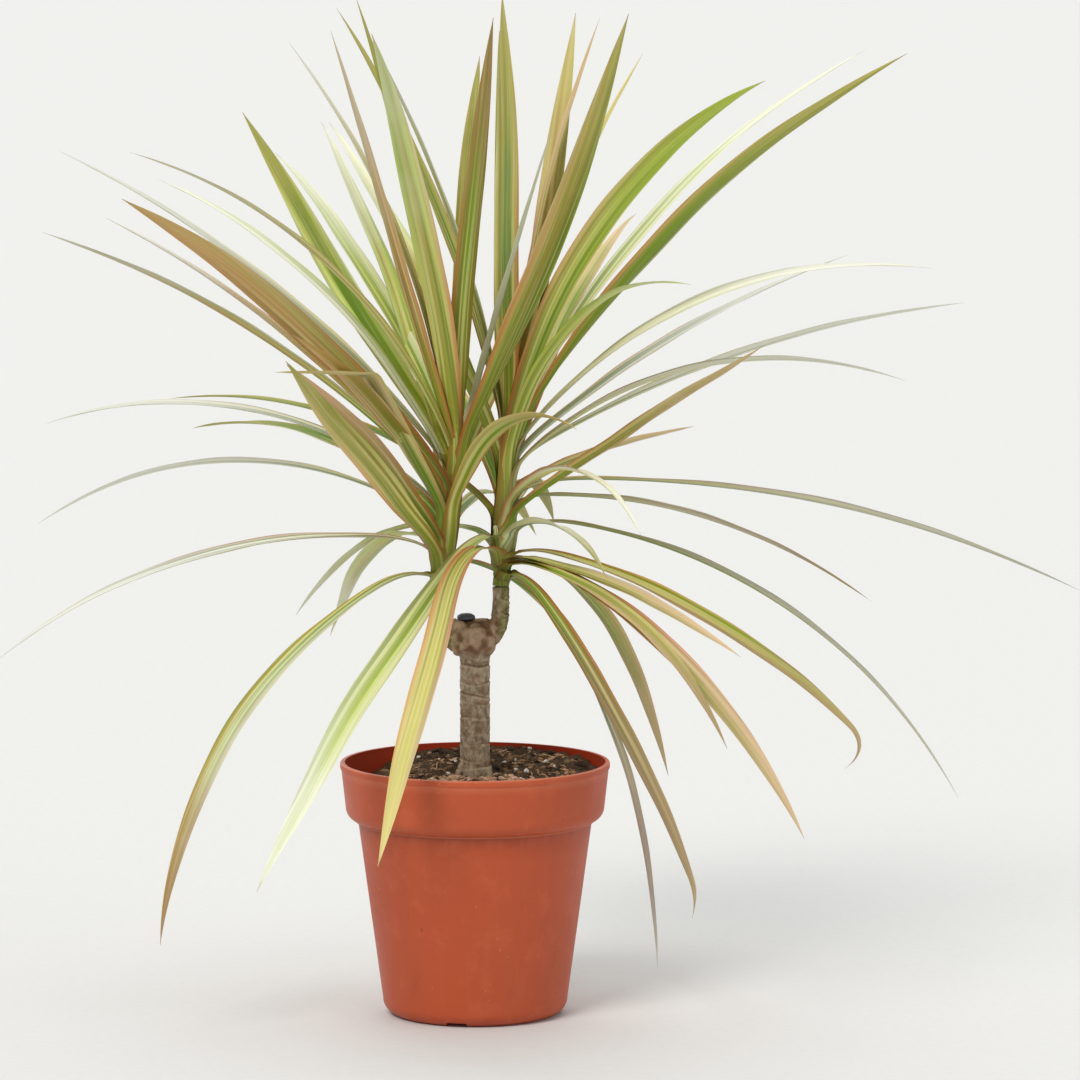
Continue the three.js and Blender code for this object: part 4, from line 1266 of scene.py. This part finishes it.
def leaf_skin():
    skin = Surface("striped_leaf", 0.15)
    across, along = skin.read("across"), skin.read("along")
    colours = {name: skin.read(name, "Color") for name in STRIPES}
    grain = skin.read("grain", "Vector")
    veins = skin.noise(grain, 0.0008, 4, 0.6, (1, 0.012, 1))
    lines = skin.noise(grain, 0.0016, 2, 0.4, (1, 0.005, 1))
    broad = skin.noise(grain, 0.0026, 3, 0.5, (1, 0.016, 1))
    drift = skin.noise(grain, 0.03, 2, 0.5, (0.2, 1, 1))
    outer = skin.add("ShaderNodeMath", {0: across}, operation="ABSOLUTE")
    wander = skin.times(broad, 1.1, -0.55)
    rim = skin.times(wander, 0.3, outer)
    left = skin.span(skin.times(wander, 0.3, across), -0.2, 0.2)
    band, edge = (skin.blend(left, colours[f"{name}_right"], colours[f"{name}_left"])
                  for name in ("band", "edge"))
    skin.base = colours["middle"]
    skin.tint(band, skin.times(wander, 1, outer), 0.14, 0.6)
    skin.tint(edge, rim, 0.66, 1, 0.85)
    skin.tint(colours["far"], skin.times(drift, 0.4, along), 0.62, 1.15, 0.85)
    # Near its base a blade is greener, though less so where it is pale. It has finer stripes, cream
    # and green, that weaken towards its tip.
    lightness = skin.add("ShaderNodeRGBToBW", {"Color": colours["middle"]})
    vivid = skin.span(lightness, 0.62, 0.4, 0.4, 1)
    leafy = skin.span(skin.part(grain, 2), 0.35, 0.65)
    young = skin.blend(leafy, (112, 160, 16), (148, 152, 22))
    near = skin.times(wander, 0.2, along)
    skin.tint(young, near, 0.46, 0.1, skin.times(vivid, 0.88))
    skin.tint((222, 216, 140), lines, 0.53, 0.62, skin.span(along, 0.8, 0.2, 0.15, 0.75))
    skin.tint((96, 122, 14), lines, 0.5, 0.4, skin.span(along, 0.8, 0.2, 0.14, 0.7))
    skin.tint((232, 224, 178), veins, 0.5, 0.72, 0.22)
    skin.tint((112, 112, 44), veins, 0.5, 0.3, 0.22)
    # Margins blush red over the lower half. Painted shade darkens the margins near the base, the base
    # and the clasping foot, where the leaves crowd and shade each other.
    redness = skin.times(skin.part(edge, 1), -1, skin.part(edge, 0))
    blush = skin.times(skin.span(redness, 0.02, 0.22, 0.12, 0.8), skin.span(along, 0.7, 0.15))
    skin.tint((198, 108, 62), rim, 0.4, 0.95, blush)
    painted_base_shade = skin.times(skin.span(along, 0.24, 0.04, 0, 0.75), vivid)
    skin.tint((142, 78, 34), rim, 0.3, 0.9, painted_base_shade)
    # Painted shade at the base of the blade and on the clasping foot.
    skin.tint((98, 106, 14), along, 0.1, -0.06, 0.6)
    skin.tint((96, 80, 34), along, -0.05, -0.12, 0.7)
    skin.tint((160, 136, 104), along, 0.965, 1, 0.6)
    skin.paint((176, 156, 130), skin.read("dry"))
    skin.paint((172, 180, 112), skin.times(skin.read("under"), 0.12))
    return skin.finish(skin.span(veins, 0.3, 0.7, 0.46, 0.62), skin.bump(veins, 0.0003, 0.5))


def make_leaves(crown, leaves, material):
    points, faces = [], []
    stored = {}
    for n, leaf in leaves:
        rng = random.Random(BLADE_SEED + n)
        blade_points, sides, values = blade(leaf, rng)
        count = len(blade_points)
        faces += [face[::-1] for face in tube_faces(count // sides, sides, len(points))]
        points += list(blade_points)
        tone = rng.uniform(*BLADE_TONES)
        for name, paint in zip(STRIPES, leaf["colours"]):
            colour = np.multiply(srgb(PAINTS[paint]), (tone, tone, tone, 1))
            values[name] = np.tile(colour, (count, 1))
        for name, value in values.items():
            stored.setdefault(name, []).append(value)
    piece = new_piece(f"leaves_{crown}", points, faces, material, "leaf", (f"crown_{crown}",), 50)
    store(piece, **{name: np.concatenate(parts) for name, parts in stored.items()})


def stem_radius(share):
    """The green stem's radius up a crown. Over its top the bundle of young leaves thins away."""
    swelling = mix(CORE_FOOT_RADIUS, CORE_BODY_RADIUS, ease((share - 0.08) / 0.2))
    slimming = mix(CORE_BODY_RADIUS, CORE_TIP_RADIUS, ease((share - 0.28) / 0.72))
    return np.where(share < 0.28, swelling, slimming) * (1 - ease((share - 1) / STEM_TIP))


def stem_skin():
    skin = Surface("green_stem", 0.35, (92, 104, 34))
    streak = skin.noise(skin.place(), 0.0016, 4, squeeze=(1, 1, 0.2))
    skin.tint((150, 158, 56), streak, 0.3, 0.7)
    skin.paint((164, 164, 30), skin.read("glow"))
    skin.tint((96, 84, 40), skin.read("collar"), 0.2, 0.9, 0.8)
    rough = skin.span(streak, 0.3, 0.7, 0.45, 0.65)
    return skin.finish(rough, skin.bump(streak, 0.0004, 0.6))


def make_stem(crown, material):
    """The green stem under the leaves, ringed where old leaves fell."""
    rng = random.Random(STEM_SEEDS[crown])
    foot, top = axis_point(crown, 0), axis_point(crown, 1)
    shares = np.linspace(0, 1, STEM_STEPS + 1)
    heights = shares * (top[2] - foot[2])
    saw = ((heights + 0.6 * np.sin(heights * 0.9 + rng.random())) % STEM_RING_PITCH) / STEM_RING_PITCH
    collar = nearness(saw, 0.06, 0.07) + nearness(saw, 1.06, 0.07)
    radii = 0.9 * stem_radius(np.minimum(shares, 0.99)) + 0.3 * (1 - saw) - 0.25 * collar
    points, faces = circle_tube([mix(foot, top, t) for t in shares], radii, STEM_SIDES)
    piece = new_piece(f"stem_{crown}", points, faces, material, "leaf", (f"crown_{crown}",), 60)
    glow = STEM_GLOW[crown] * ease((heights - STEM_GLOW_FROM) / 12)
    store(piece, collar=np.repeat(collar, STEM_SIDES), glow=np.repeat(glow, STEM_SIDES))


# ---- the plant

make_camera()
make_studio()
make_pot()
make_soil()
make_soil_bits()
make_trunk()
make_wax_seal()
leaf_material = leaf_skin()
stem_material = stem_skin()
numbered = list(enumerate(all_leaves()))
for crown_name in CROWNS:
    grown = [(n, leaf) for n, leaf in numbered if leaf["crown"] == crown_name]
    make_leaves(crown_name, grown, leaf_material)
    make_stem(crown_name, stem_material)
